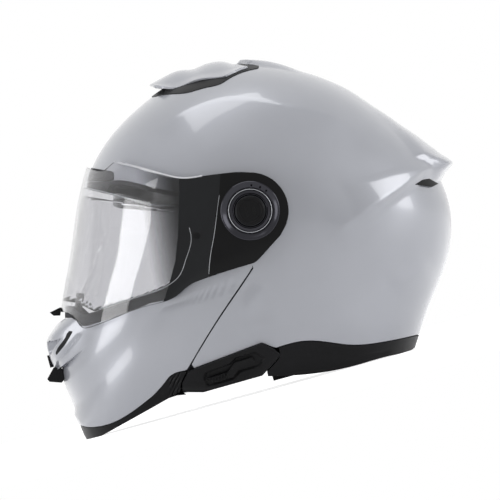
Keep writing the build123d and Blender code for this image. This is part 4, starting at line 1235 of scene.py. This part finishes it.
@dataclass
class ChinBar:
    """The painted chin bar, its vent, the seal on its top edge and its nose lip."""

    wall: float = 0.004
    creases: tuple[Relief, ...] = (
        Relief(((161, 308.6), (188.3, 300), (200, 296), (241, 283)), -0.0011, 0.0018, 0.0018, 0.04),
        Relief(((74.4, 408.4), (78.8, 414.9), (88, 429)), 0.0022, 0.012, 0.016, 0.2, True),
        Relief(((83.6, 331), (75, 344), (67.4, 356.4), (63.4, 366)), -0.0018, 0.0018, 0.0018, 0.08),
    )
    slot_line: Run = ((66.5, 329.5), (73.9, 330.6), (66.5, 343), (57.5, 354.5), (52.8, 355.5), (52.6, 343.4),
                      (58, 338))
    dark_line: Run = ((69, 330.4), (74.2, 331), (66.8, 343.6), (57.4, 355), (56, 353), (59, 347), (66, 338))
    slot_gap: float = 0.013
    slot_depth: float = 0.0085
    slot_slope: float = 0.0022
    bulge_line: Run = ((70, 316), (60.6, 320.7), (52.5, 331), (47.6, 339), (47, 345.4), (48.6, 353),
                       (52.6, 364.5), (56.5, 371))
    bulge_half: float = 0.078
    bulge_fade: float = 0.040
    bulge_most: float = 0.02
    seal_height: float = 11.5
    seal_wall: float = 0.0038

    def vent_bulge(self, places: Array, angle: Array, share: Array) -> Array:
        """The vent cover's height over the chin bar in the middle, with its slots sunk."""
        edge = np.array([SIDE.place(*p) for p in spline(self.bulge_line)])
        turn = np.degrees(np.arctan2(edge[:, 1] - PIVOT[1], edge[:, 0] - PIVOT[0])) % 360
        reach = np.hypot(edge[:, 0] - PIVOT[0], edge[:, 1] - PIVOT[1])
        order = np.argsort(turn)
        target = np.interp(angle % 360, turn[order], reach[order], left=0, right=0)
        rise = np.clip(target - SHELL.shape(angle)[0], 0, self.bulge_most)
        return rise * ease(np.clip((self.bulge_half - np.abs(places[:, 1])) / self.bulge_fade, 0, 1))

    def beside(self, pixels: Run) -> Field:
        """The depth inside a side-view polygon, on both sides of the middle bar."""
        inside = polygon(*pixels).depth
        return lambda p: np.minimum(inside(p), np.abs(p[:, 1]) - self.slot_gap)

    def slots(self, places: Array, angle: Array, share: Array) -> Array:
        """The two scooped air slots."""
        return -self.slot_depth * np.clip(self.beside(self.slot_line)(places) / self.slot_slope, 0, 1)

    def build(self) -> None:
        """Makes the chin bar and its trim pieces."""
        side = joined(CHIN_TOP, CHIN_SHOULDER, ((199, 279.3), (256, 262)), CHIN_SEAM, CHIN_BOTTOM, CHIN_NOSE,
                      *straight((60, 412), (20, 412), (20, 318), (40, 318)))
        bm = dome_grid(SHELL, 0, stretch((193, 212, 262), (60, 110)), superspaced(201),
                       self.creases + (self.vent_bulge, self.slots))
        trim(bm, side.depth)
        trim(bm, outside(self.beside(self.dark_line)), keep=True, index=1)
        skin = place_piece("chin_bar_skin", bm, "chin_bar_body", "shell_paint",
                           "chin_bar", "chin_vent_cover")
        coat(walled(skin, self.wall, 0.0006), Look.PAINT.material, Look.SATIN.material)
        low, shoulder = moved(CHIN_TOP, -0.5), moved(CHIN_SHOULDER, -0.5)
        top = moved(low, -self.seal_height)
        strip = joined(low, shoulder, *straight(shoulder[-1], (192, 272.6), (177, 285), top[-1]),
                       tuple(reversed(top)))
        seal = dome_grid(SHELL, 0.0002, np.linspace(188, 232, 90), superspaced(141))
        shell_piece("window_seal_strip", seal, [strip.depth], self.seal_wall, "chin_bar_body",
                    "trim_rubber", "chin_window_seal", edge=0.0007)


# Visor


@dataclass
class VisorSet:
    """The clear visor with its black sides and the insert."""

    wall: float = 0.002
    ring_hole: float = 0.0217
    ear_radius: float = 0.0304
    crease: Relief = Relief(((80.5, 186.5), (103.5, 191.9), (162, 206.3), (190, 212)), 0.0012, 0.030,
                            0.012, 0.1)
    # Painted shade: inside this outline the visor is an opaque dark band, standing in for the helmet's
    # shaded inside seen through the glass.
    inner_shade_line: Run = ((180, 150), (180, 200), (179, 236), (176, 262), (170, 284), (162, 310), (300, 290),
                       (300, 150))
    dark_line: Run = ((222, 150), (219.4, 199.4), (215.6, 216.8), (212.4, 245), (208, 290), (300, 290),
                      (300, 150))
    # Painted highlight: where the hinge plate's front edge catches the light, drawn as a light grey line.
    edge_line: Run = ((219.8, 196), (217.4, 214), (214.5, 236), (211, 256), (209.4, 274))
    insert_rear: Run = ((187, 213), (190, 228), (192, 238), (186.5, 260), (180, 276), (170, 284.6))
    insert_foot: Run = ((150, 293), (120, 302.6), (101, 309))
    insert_head: Run = ((70, 185), (100, 191.6), (130, 199.2), (160, 206.4), (187, 213))
    insert_inset: float = 0.0023
    insert_wall: float = 0.0012
    bead_inset: float = 0.0019
    bead_radius: float = 0.0006
    line_inset: float = 0.0001
    line_radius: float = 0.0003
    # Painted highlight: the visor's top edge where it catches the light, drawn as a light grey tube.
    rim_highlight_line: Run = ((116.1, 162.9), (144.8, 169.9), (165, 175.9), (185, 179.4), (203, 177.2))
    rim_highlight_radius: float = 0.0011

    def lines(self, line: Array, inset: float, radius: float) -> list[Draft]:
        """Tubes along a line of the visor, one on each side."""
        return [tube(on_dome(VISOR, inset, line, side), radius) for side in (-1, 1)]

    def build(self) -> None:
        """Makes the visor, its insert, the insert's bead and light lines, of which those on the hinge
        plate's front edge and the visor's top edge are painted highlights.
        """
        side = joined(VISOR_TOP, *straight((86, 166.8), (40, 160), (40, 312), (62, 312)), VISOR_LOW,
                      *straight((254, 263), (257.2, 261.2), (280.6, 235.2), (287, 222.5), (250.3, 173.3)))
        angles, shares = stretch((140, 262, 500), (110, 60)), superspaced(161)
        bm = dome_grid(VISOR, 0, angles, shares, (self.crease,))
        trim(bm, all_of(any_of(side.depth, disc(self.ear_radius)), outside(disc(self.ring_hole))))
        # The painted shade band first, then the real black sides.
        trim(bm, outside(polygon(*self.inner_shade_line).depth), keep=True, index=2)
        trim(bm, outside(polygon(*self.dark_line).depth), keep=True, index=1)
        visor = place_piece("visor_shield", bm, "visor_body", "visor_clear", "visor")
        coat(walled(visor, self.wall, 0.0005), Look.CLEAR.material, Look.GLOSS.material, Look.SMOKE.material)
        sheet = joined(self.insert_rear, *straight(self.insert_rear[-1], (150, 293), (96, 311), (80, 303),
                                                   (40, 298), (40, 189), self.insert_rear[0]))
        bm = dome_grid(VISOR, self.insert_inset, stretch((140, 262), (110,)), shares)
        shell_piece("insert_sheet", bm, [sheet.depth], self.insert_wall, "visor_body", "insert_clear",
                    "antifog_insert", edge=0)
        edge = np.concatenate([self.insert_head, spline(self.insert_rear)[1:], self.insert_foot])
        tubes = self.lines(spline(edge, 3), self.bead_inset, self.bead_radius)
        # Light lines on the visor's outer face: over the hinge plate's front edge, a painted highlight, and
        # over the insert's rear edge.
        tubes += [tube(on_dome(VISOR, self.line_inset, spline(line), side), self.line_radius)
                  for side in (-1, 1) for line in (self.edge_line, self.insert_rear[1:])]
        bead = place_piece("insert_bead", merged(*tubes), "visor_body", "insert_clear")
        coat(bead, Look.BEAD.material)
        # Painted highlight along the visor's top edge.
        rim = merged(*self.lines(spline(self.rim_highlight_line, 6), self.wall / 2, self.rim_highlight_radius))
        coat(place_piece("visor_rim", rim, "visor_body", "visor_clear"), Look.RIM.material)


# Lines, tubes and turned pieces


def on_dome(dome: Dome, inset: float, run: Array, side: int = -1) -> Array:
    """Points of a round body that show at given pixels of the side view.

    Args:
        dome: the round body.
        inset: distance inwards, in metres.
        run: rows of pixels.
        side: -1 for the left half, 1 for the right.

    Returns:
        Rows of x, y, z; a pixel outside the body gives the nearest point of its middle line.
    """
    places = np.array([SIDE.place(*p) for p in run])
    turn = np.degrees(np.arctan2(places[:, 1] - PIVOT[1], places[:, 0] - PIVOT[0]))
    radius, power = dome.shape(turn)
    near = np.clip(np.hypot(places[:, 0] - PIVOT[0], places[:, 1] - PIVOT[1]) / (radius - inset), 0, 1)
    return dome.points(turn, side * (1 - near**power) ** (1 / power), inset)


def skinned(rings: Sequence[Sequence[Sequence[float]]], closed: bool = False) -> Draft:
    """A surface through rings of points, whose ends are capped unless they join.

    Args:
        rings: the rings, with as many points in each.
        closed: joins the last ring to the first.

    Returns:
        The surface.
    """
    bm = bmesh.new()
    rows = [[bm.verts.new(point) for point in ring] for ring in rings]
    for low, high in zip(rows, rows[1:] + (rows[:1] if closed else [])):
        for i in range(len(low)):
            after = (i + 1) % len(low)
            bm.faces.new((low[i], low[after], high[after], high[i]))
    for row in () if closed else (rows[0], rows[-1]):
        bm.faces.new(row)
    bmesh.ops.recalc_face_normals(bm, faces=bm.faces)
    return bm


def tube(line: Array, radius: float, sides: int = 8, closed: bool = False) -> Draft:
    """A round tube along a line.

    Args:
        line: rows of x, y, z.
        radius: its radius, in metres.
        sides: faces round it.
        closed: joins its ends, which are capped otherwise.

    Returns:
        The tube.
    """
    ahead = np.roll(line, -1, 0) - np.roll(line, 1, 0)
    if not closed:
        ahead[0], ahead[-1] = line[1] - line[0], line[-1] - line[-2]
    up, rings = Vector((0.13, 0.31, 0.94)), []
    for place, along in zip(line, ahead):
        along = Vector(along).normalized()
        across = along.cross(up).normalized()
        up = across.cross(along)
        rings.append([Vector(place) + radius * (math.cos(t) * across + math.sin(t) * up)
                      for t in np.arange(sides) * 2 * math.pi / sides])
    return skinned(rings, closed)


def merged(*meshes: Draft) -> Draft:
    """Several meshes as one.

    Args:
        meshes: the meshes; all but the first are freed.

    Returns:
        The first, with all the others added.
    """
    whole = meshes[0]
    for part in meshes[1:]:
        mesh = as_mesh("part", part)
        whole.from_mesh(mesh)
        bpy.data.meshes.remove(mesh)
    return whole


def lathe(profile: Sequence[tuple[float, float]], steps: int = 96, side: int = -1) -> Draft:
    """A solid turned about the pivot axis.

    Args:
        profile: radius and level of each point, in millimetres, closed on itself or on the axis.
        steps: faces round it.
        side: -1 for the left, 1 for the right.

    Returns:
        The turned solid.
    """
    bm = bmesh.new()
    verts = [bm.verts.new((PIVOT[0] + r * MM, side * level * MM, PIVOT[1])) for r, level in profile]
    edges = [bm.edges.new(pair) for pair in zip(verts, verts[1:])]
    if profile[0][0] > 0:
        edges.append(bm.edges.new((verts[-1], verts[0])))
    bmesh.ops.spin(bm, geom=verts + edges, cent=(PIVOT[0], 0, PIVOT[1]), axis=(0, 1, 0), angle=2 * math.pi,
                   steps=steps, use_merge=True)
    bmesh.ops.remove_doubles(bm, verts=bm.verts, dist=SAME)
    bmesh.ops.recalc_face_normals(bm, faces=bm.faces)
    return bm


def box(low: Sequence[float], high: Sequence[float]) -> Draft:
    """A block.

    Args:
        low: one corner, in metres.
        high: the opposite corner.

    Returns:
        The block.
    """
    bm = bmesh.new()
    bmesh.ops.create_cube(bm, size=1)
    middle, size = (Vector(low) + Vector(high)) / 2, Vector(high) - Vector(low)
    for vert in bm.verts:
        vert.co = middle + Vector(a * abs(b) for a, b in zip(vert.co, size))
    return bm


# Pivots


@dataclass
class Pivots:
    """The dished rings that carry the visor's ears, and the caps of the axles, on both sides."""

    ring: Run = ((12.3, 125.4), (12.3, 126.8), (13.2, 127.3), (14.2, 126.4), (16.2, 126.0), (16.8, 127.4),
                 (17.5, 127.4), (17.9, 126.2), (19.0, 126.6), (20.6, 127.5), (22.0, 128.6), (22.9, 128.9),
                 (23.5, 128.4), (23.7, 127.5), (21.5, 127.3), (21.5, 124.2), (16.0, 124.2))
    cap: Run = ((0, 128.5), (8.6, 128.5), (8.9, 129.2), (9.6, 129.4), (10.8, 129.3), (11.6, 128.7),
                (11.8, 127.9), (11.8, 127.3), (0, 127.3))
    tooth_angles: tuple[float, ...] = (72, 52, 36)
    line_radius: float = 0.0171
    line_level: float = 0.1276
    line_rise: float = 0.0003
    tooth: tuple[Pixel, Pixel] = ((0.0176, 0.1275), (0.0196, 0.1286))
    tooth_half: float = 0.0006
    bar_places: tuple[float, ...] = (-0.003, 0.003)
    bar_levels: Pixel = (0.1282, 0.1289)
    bar_half: Pixel = (0.0008, 0.0042)

    def teeth(self, side: int) -> list[Draft]:
        """Three small click marks on a ring."""
        marks = []
        (near, low), (far, high) = self.tooth
        for angle in self.tooth_angles:
            bm = box((near, side * low, -self.tooth_half), (far, side * high, self.tooth_half))
            turn = Matrix.Rotation(-math.radians(angle), 3, "Y")
            bmesh.ops.rotate(bm, cent=(0, 0, 0), matrix=turn, verts=bm.verts)
            bmesh.ops.translate(bm, vec=(PIVOT[0], 0, PIVOT[1]), verts=bm.verts)
            marks.append(bm)
        return marks

    def bars(self, side: int) -> list[Draft]:
        """The two upright bars on a cap."""
        half, tall = self.bar_half
        low, high = (side * level for level in self.bar_levels)
        places = [PIVOT[0] + place for place in self.bar_places]
        return [box((x - half, low, PIVOT[1] - tall), (x + half, high, PIVOT[1] + tall)) for x in places]

    def build(self) -> None:
        """Makes the rings, a thin bright steel line on each that paints the highlight of its inner lip, and
        the caps.
        """
        for name, side in (("left", -1), ("right", 1)):
            ring = merged(lathe(self.ring, side=side), *self.teeth(side))
            piece = place_piece(f"ring_{name}", ring, "chin_bar_body", "black_plastic", f"pivot_ring_{name}")
            coat(rounded(piece, 0.0002, 30), Look.RING.material)
            # Painted highlight: a thin bright steel ring where the ring's inner lip catches the light.
            turn = np.linspace(0, 2 * math.pi, 96, endpoint=False)
            circle = np.stack((PIVOT[0] + self.line_radius * np.cos(turn),
                               np.full(len(turn), side * self.line_level),
                               PIVOT[1] + self.line_radius * np.sin(turn)), 1)
            line = tube(circle, self.line_rise, closed=True)
            coat(place_piece(f"ring_line_{name}", line, "chin_bar_body", "axle_metal"), Look.STEEL.material)
            cap = merged(lathe(self.cap, side=side), *self.bars(side))
            piece = place_piece(f"cap_{name}", cap, "shell", "black_plastic", f"pivot_cap_{name}")
            coat(rounded(piece, 0.0002, 30), Look.SATIN.material)


# Comfort lining


@dataclass(frozen=True)
class Seam:
    """A sewn line on a pad: where a field is zero the cloth is drawn in."""

    field: Field
    depth: float = 0.0016
    reach: float = 0.0045


@dataclass
class Lining:
    """The crown pad, cheek pads and neck roll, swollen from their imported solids, and their seams."""

    pressure: float = 4.0
    frames: int = 20
    crown_half: float = 0.034
    crown_back: float = 0.03
    crown_low: float = 0.1725
    ring_middle: Pixel = (0.001, 0.076)
    ring_half: Pixel = (0.030, 0.031)
    roll_level: float = 0.041

    def copy(self, name: str, node: str, voxel: float, slim: float) -> Piece:
        """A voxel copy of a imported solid, made a little slimmer.

        Args:
            name: the piece's name.
            node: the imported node.
            voxel: the voxel's size.
            slim: how far the surface is drawn in.

        Returns:
            The piece.
        """
        bm = bmesh.new()
        bm.from_mesh(frame["nodes"][node].data)
        bmesh.ops.remove_doubles(bm, verts=bm.verts, dist=SAME)
        pad = place_piece(name, bm, "shell", "lining", node)
        remesh = pad.modifiers.new("remesh", "REMESH")
        remesh.mode, remesh.voxel_size = "VOXEL", voxel
        self.apply(pad)
        self.settle(pad, self.places(pad) - self.normals(pad) * slim)
        return pad

    def places(self, pad: Piece) -> Array:
        """The places of a piece's vertices."""
        return np.array([v.co for v in pad.data.vertices])

    def normals(self, pad: Piece) -> Array:
        """The directions that a piece's vertices face."""
        return np.array([v.normal for v in pad.data.vertices])

    def settle(self, pad: Piece, places: Array) -> None:
        """Puts a piece's vertices at new places."""
        pad.data.vertices.foreach_set("co", places.ravel())
        pad.data.update()

    def apply(self, pad: Piece) -> None:
        """Applies a piece's modifiers to its mesh."""
        seen = pad.evaluated_get(bpy.context.evaluated_depsgraph_get())
        mesh = bpy.data.meshes.new_from_object(seen)
        pad.modifiers.clear()
        old, pad.data = pad.data, mesh
        bpy.data.meshes.remove(old)
        mesh.shade_smooth()

    def swell(self, pad: Piece, cap: float) -> None:
        """Lets cloth swell for a moment under pressure, and caps how far it goes.

        Args:
            pad: the piece.
            cap: the furthest that a point may move.
        """
        start = self.places(pad)
        cloth = pad.modifiers.new("cloth", "CLOTH")
        cloth.settings.use_pressure, cloth.settings.uniform_pressure_force = True, self.pressure
        cloth.settings.effector_weights.gravity = 0
        cloth.settings.quality, cloth.point_cache.frame_end = 4, self.frames
        for step in range(1, self.frames + 1):
            bpy.context.scene.frame_set(step)
        self.apply(pad)
        bpy.context.scene.frame_set(1)
        went = self.places(pad) - start
        length = np.linalg.norm(went, axis=1, keepdims=True)
        went *= np.minimum(1, cap / np.maximum(length, 1e-9))
        self.settle(pad, start + went)

    def sew(self, pad: Piece, *seams: Seam) -> None:
        """Draws the cloth in along its seams, after one subdivision.

        Args:
            pad: the piece.
            seams: its sewn lines.
        """
        finer = pad.modifiers.new("finer", "SUBSURF")
        finer.levels = finer.render_levels = 1
        self.apply(pad)
        places, normals = self.places(pad), self.normals(pad)
        for seam in seams:
            fall = np.clip(1 - np.abs(seam.field(places)) / seam.reach, 0, 1)
            places = places - normals * (seam.depth * fall**1.5)[:, None]
        self.settle(pad, places)

    def pad(self, name: str, node: str, voxel: float, slim: float, cap: float, fill: float, look: Look,
            *seams: Seam) -> None:
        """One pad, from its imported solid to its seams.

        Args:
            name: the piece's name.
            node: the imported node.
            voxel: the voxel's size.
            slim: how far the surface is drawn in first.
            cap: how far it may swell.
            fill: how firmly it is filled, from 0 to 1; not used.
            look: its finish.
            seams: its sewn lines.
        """
        pad = self.copy(name, node, voxel, slim)
        self.swell(pad, cap)
        self.sew(pad, *seams)
        coat(pad, look.material)

    def oval(self, places: Array) -> Array:
        """The distance from the oval seam round the ear."""
        (column, level), (radius, height) = self.ring_middle, self.ring_half
        share = np.hypot((places[:, 0] - column) / radius, (places[:, 2] - level) / height)
        return (share - 1) * radius

    def build(self) -> None:
        """Makes every pad."""
        beside = Seam(lambda p: np.abs(p[:, 1]) - self.crown_half)
        behind = Seam(lambda p: np.where(np.abs(p[:, 1]) < self.crown_half, 1.0, p[:, 0] - self.crown_back),
                      0.0014)
        round_low = Seam(lambda p: p[:, 2] - self.crown_low, 0.001, 0.003)
        ring = Seam(self.oval, 0.0022, 0.004)
        roll = Seam(lambda p: p[:, 2] - self.roll_level, 0.0016)
        self.pad("crown_cushion", "crown_pad", 0.0032, 0.0006, 0.0012, 0.5, Look.LINING,
                 beside, behind, round_low)
        for name in ("left", "right"):
            self.pad(f"cheek_cushion_{name}", f"cheek_pad_{name}", 0.0035, 0.0022, 0.0035, 0.8, Look.LINING,
                     ring)
        self.pad("neck_cushion", "neck_roll", 0.0035, 0.0016, 0.0025, 0.6, Look.LEATHER, roll)


# Chin curtain and straps


@dataclass
class ChinCurtain:
    """The cloth curtain behind the chin trim, gathered a little towards the throat."""

    front: Pixel = (108.6, 420.0)
    back: Pixel = (148.6, 397.4)
    half_width: float = 0.061
    thickness: float = 0.0012
    corners: float = 0.30
    fold: float = 0.0006
    fold_turns: float = 34
    bow: float = 0.004
    lift: float = 0.0004

    def build(self) -> None:
        """Makes the curtain."""
        bm = plane(24, 70)
        front, back = (np.array(SIDE.place(*p)) for p in (self.front, self.back))
        for vert in bm.verts:
            along, across = (vert.co.x + 1) / 2, vert.co.y
            x, z = front + (back - front) * along * (1 - self.corners * across * across)
            fold = self.fold * math.sin(across * self.fold_turns) * along
            vert.co = Vector((x + self.bow * across**2, across * self.half_width, z + fold + self.lift))
        bmesh.ops.recalc_face_normals(bm, faces=bm.faces)
        curtain = place_piece("curtain_cloth", bm, "chin_bar_body", "lining", "chin_curtain")
        solid = curtain.modifiers.new("wall", "SOLIDIFY")
        solid.thickness, solid.offset = self.thickness, 0
        coat(curtain, Look.LINING.material)


@dataclass
class Straps:
    """The two halves of the chin strap: webbing with raised borders."""

    middle: float = 0.008
    width: float = 0.0238
    thickness: float = 0.0019
    bend: float = 0.008
    bend_share: float = 0.55
    bend_points: int = 7
    ends: Pixel = (-0.0183, 0.0283)
    stops: tuple[Pixel, ...] = ((0.100, 0.046), (0.100, 0.032), (0.090, 0.022), (0.052, 0.011))
    buckle_level: float = 0.010
    across: tuple[float, ...] = (-1, -0.985, -0.93, -0.86, -0.8, 0, 0.8, 0.86, 0.93, 0.985, 1)
    rise: tuple[float, ...] = (0.2, 0.7, 1, 1, 0.72, 0.8, 0.72, 1, 1, 0.7, 0.2)

    def line(self, side: int, end: float) -> Array:
        """The strap's middle line from its rivet to the buckle, rounded at its bends.

        Args:
            side: -1 for the left half, 1 for the right.
            end: where across the helmet it ends.

        Returns:
            Rows of y, z.
        """
        stops = np.array([(side * y, z) for y, z in self.stops] + [(end, self.buckle_level)])
        found = [stops[0]]
        for before, at, after in zip(stops, stops[1:], stops[2:]):
            come, go = at - before, after - at
            reach = [min(0.5 * np.linalg.norm(v), self.bend * self.bend_share) for v in (come, go)]
            first = at - come / np.linalg.norm(come) * min(reach)
            last = at + go / np.linalg.norm(go) * min(reach)
            t = np.linspace(0, 1, self.bend_points)[:, None]
            found.extend((1 - t) ** 2 * first + 2 * t * (1 - t) * at + t * t * last)
        found.append(stops[-1])
        return np.array(found)

    def strap(self, name: str, side: int, end: float) -> None:
        """One half of the strap.

        Args:
            name: its side.
            side: -1 for the left half, 1 for the right.
            end: where across the helmet it ends.
        """
        line = self.line(side, end)
        rise = np.array(self.rise) * self.thickness / 2
        rings = []
        for i, place in enumerate(line):
            ahead = line[min(i + 1, len(line) - 1)] - line[max(i - 1, 0)]
            ahead = ahead / np.linalg.norm(ahead)
            up = np.array((-ahead[1], ahead[0]))
            rings.append([(self.middle + a * self.width / 2, *(place + face * up * h))
                          for face, order in ((1, 1), (-1, -1))
                          for a, h in zip(self.across[::order], rise[::order])])
        bm = skinned(rings)
        piece = place_piece(f"strap_{name}", bm, "shell", "webbing", f"chin_strap_{name}")
        coat(piece, Look.WEBBING.material)

    def build(self) -> None:
        """Makes both halves."""
        for name, side, end in zip(("left", "right"), (-1, 1), self.ends):
            self.strap(name, side, end)


# Studio


@dataclass
class Studio:
    """Camera, floor and lamps."""

    aim: tuple[float, float, float] = (0.0036, 0.0, 0.1114)
    frame_width: float = 0.40027
    lens: float = 1000.0
    view_end: float = 60
    floor_half: float = 1.6
    floor_glow: float = 0.82
    floor_tone: Tone = (236, 236, 237)
    fill_light: float = 0.12
    lamps: tuple[tuple, ...] = (
        ("front_box", (-1.46, -0.60, 0.12), (0.8, 2.0), 20),
        ("rear_box", (1.42, -0.55, 0.10), (1.1, 1.3), 18),
        ("top_box", (0.05, -0.15, 1.75), (1.5, 1.1), 14),
    )
    lamp_aim: tuple[float, float, float] = (0, 0, 0.12)

    def camera(self) -> None:
        """Looks at the left side, turned so that the helmet leans as in the picture."""
        data = bpy.data.cameras.new("camera")
        data.lens, data.clip_end = self.lens, self.view_end
        lens = link("camera", data)
        cos, sin = math.cos(SIDE.tilt), math.sin(SIDE.tilt)
        away = self.frame_width / data.sensor_width * self.lens
        turn = Matrix(((cos, sin, 0), (0, 0, -1), (-sin, cos, 0))).to_4x4()
        lens.matrix_world = Matrix.Translation(Vector(self.aim) - Vector((0, away, 0))) @ turn
        bpy.context.scene.camera = lens

    def floor(self) -> None:
        """A plain pale floor under the helmet."""
        floor = link("floor", as_mesh("floor", plane(1, 1, self.floor_half)))
        r = Recipe("pale_floor")
        glow = r.span(self.seen_rays(r), 0.0, self.floor_glow)
        r.set(Base_Color=tone(*self.floor_tone), Roughness=0.9, Specular_IOR_Level=0.1,
              Emission_Color=(1, 1, 1, 1), Emission_Strength=glow)
        coat(floor, r.material)

    def seen_rays(self, r: "Recipe | WorldRecipe") -> Socket:
        """1 for rays from the camera, from gloss and through glass, else 0."""
        rays = r.add("ShaderNodeLightPath").outputs
        seen = r.join("MAXIMUM", rays["Is Camera Ray"], rays["Is Glossy Ray"])
        return r.join("MAXIMUM", seen, rays["Is Transmission Ray"])

    def world(self) -> None:
        """White where it is seen, and a plain soft light elsewhere."""
        world = bpy.data.worlds.new("studio")
        bpy.context.scene.world = world
        world.use_nodes = True
        r = WorldRecipe(world)
        strength = r.add("ShaderNodeMapRange", To_Min=self.fill_light, To_Max=1.0, Value=self.seen_rays(r))
        shade = world.node_tree.nodes["Background"]
        shade.inputs["Color"].default_value = (1, 1, 1, 1)
        world.node_tree.links.new(strength.outputs["Result"], shade.inputs["Strength"])

    def lamp(self, name: str, place: Sequence[float], size: tuple[float, float], power: float) -> None:
        """One soft box.

        Args:
            name: its name.
            place: where it is.
            size: its width and height.
            power: watts.
        """
        data = bpy.data.lights.new(name, "AREA")
        data.shape, data.size, data.size_y, data.energy = "RECTANGLE", size[0], size[1], power
        lamp = link(name, data)
        lamp.location = place
        lamp.rotation_euler = (Vector(self.lamp_aim) - Vector(place)).to_track_quat("-Z", "Y").to_euler()

    def build(self) -> None:
        """Sets up the whole studio."""
        self.camera()
        self.floor()
        self.world()
        for row in self.lamps:
            self.lamp(*row)
        bpy.context.scene.view_settings.view_transform = "Standard"


@dataclass
class WorldRecipe:
    """Nodes of the world, added as a Recipe adds a material's."""

    world: bpy.types.World

    @property
    def tree(self) -> bpy.types.NodeTree:
        """The world's node tree."""
        return self.world.node_tree

    add, join, put = Recipe.add, Recipe.join, Recipe.put


def dress_nodes() -> None:
    """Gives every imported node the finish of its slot."""
    slots = {part["node"]: part["material_slot"] for part in frame["record"]["subparts"]}
    for name, node in frame["nodes"].items():
        look = SLOT_LOOKS[slots[name]]
        coat(node, look.material)
        log.info("%s keeps its shape in %s", name, look.value.name)


def main() -> None:
    """Builds the studio, the finishes and every piece in order."""
    logging.basicConfig(level=logging.INFO, format="%(name)s: %(message)s")
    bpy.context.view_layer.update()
    Studio().build()
    dress_nodes()
    for group in (OuterShell(), CrownVent(), LowerTrim(), ChinBar(), VisorSet(), Pivots(), Lining(),
                  ChinCurtain(), Straps()):
        log.info("building %s", type(group).__name__)
        group.build()


if __name__ == "__main__":
    main()
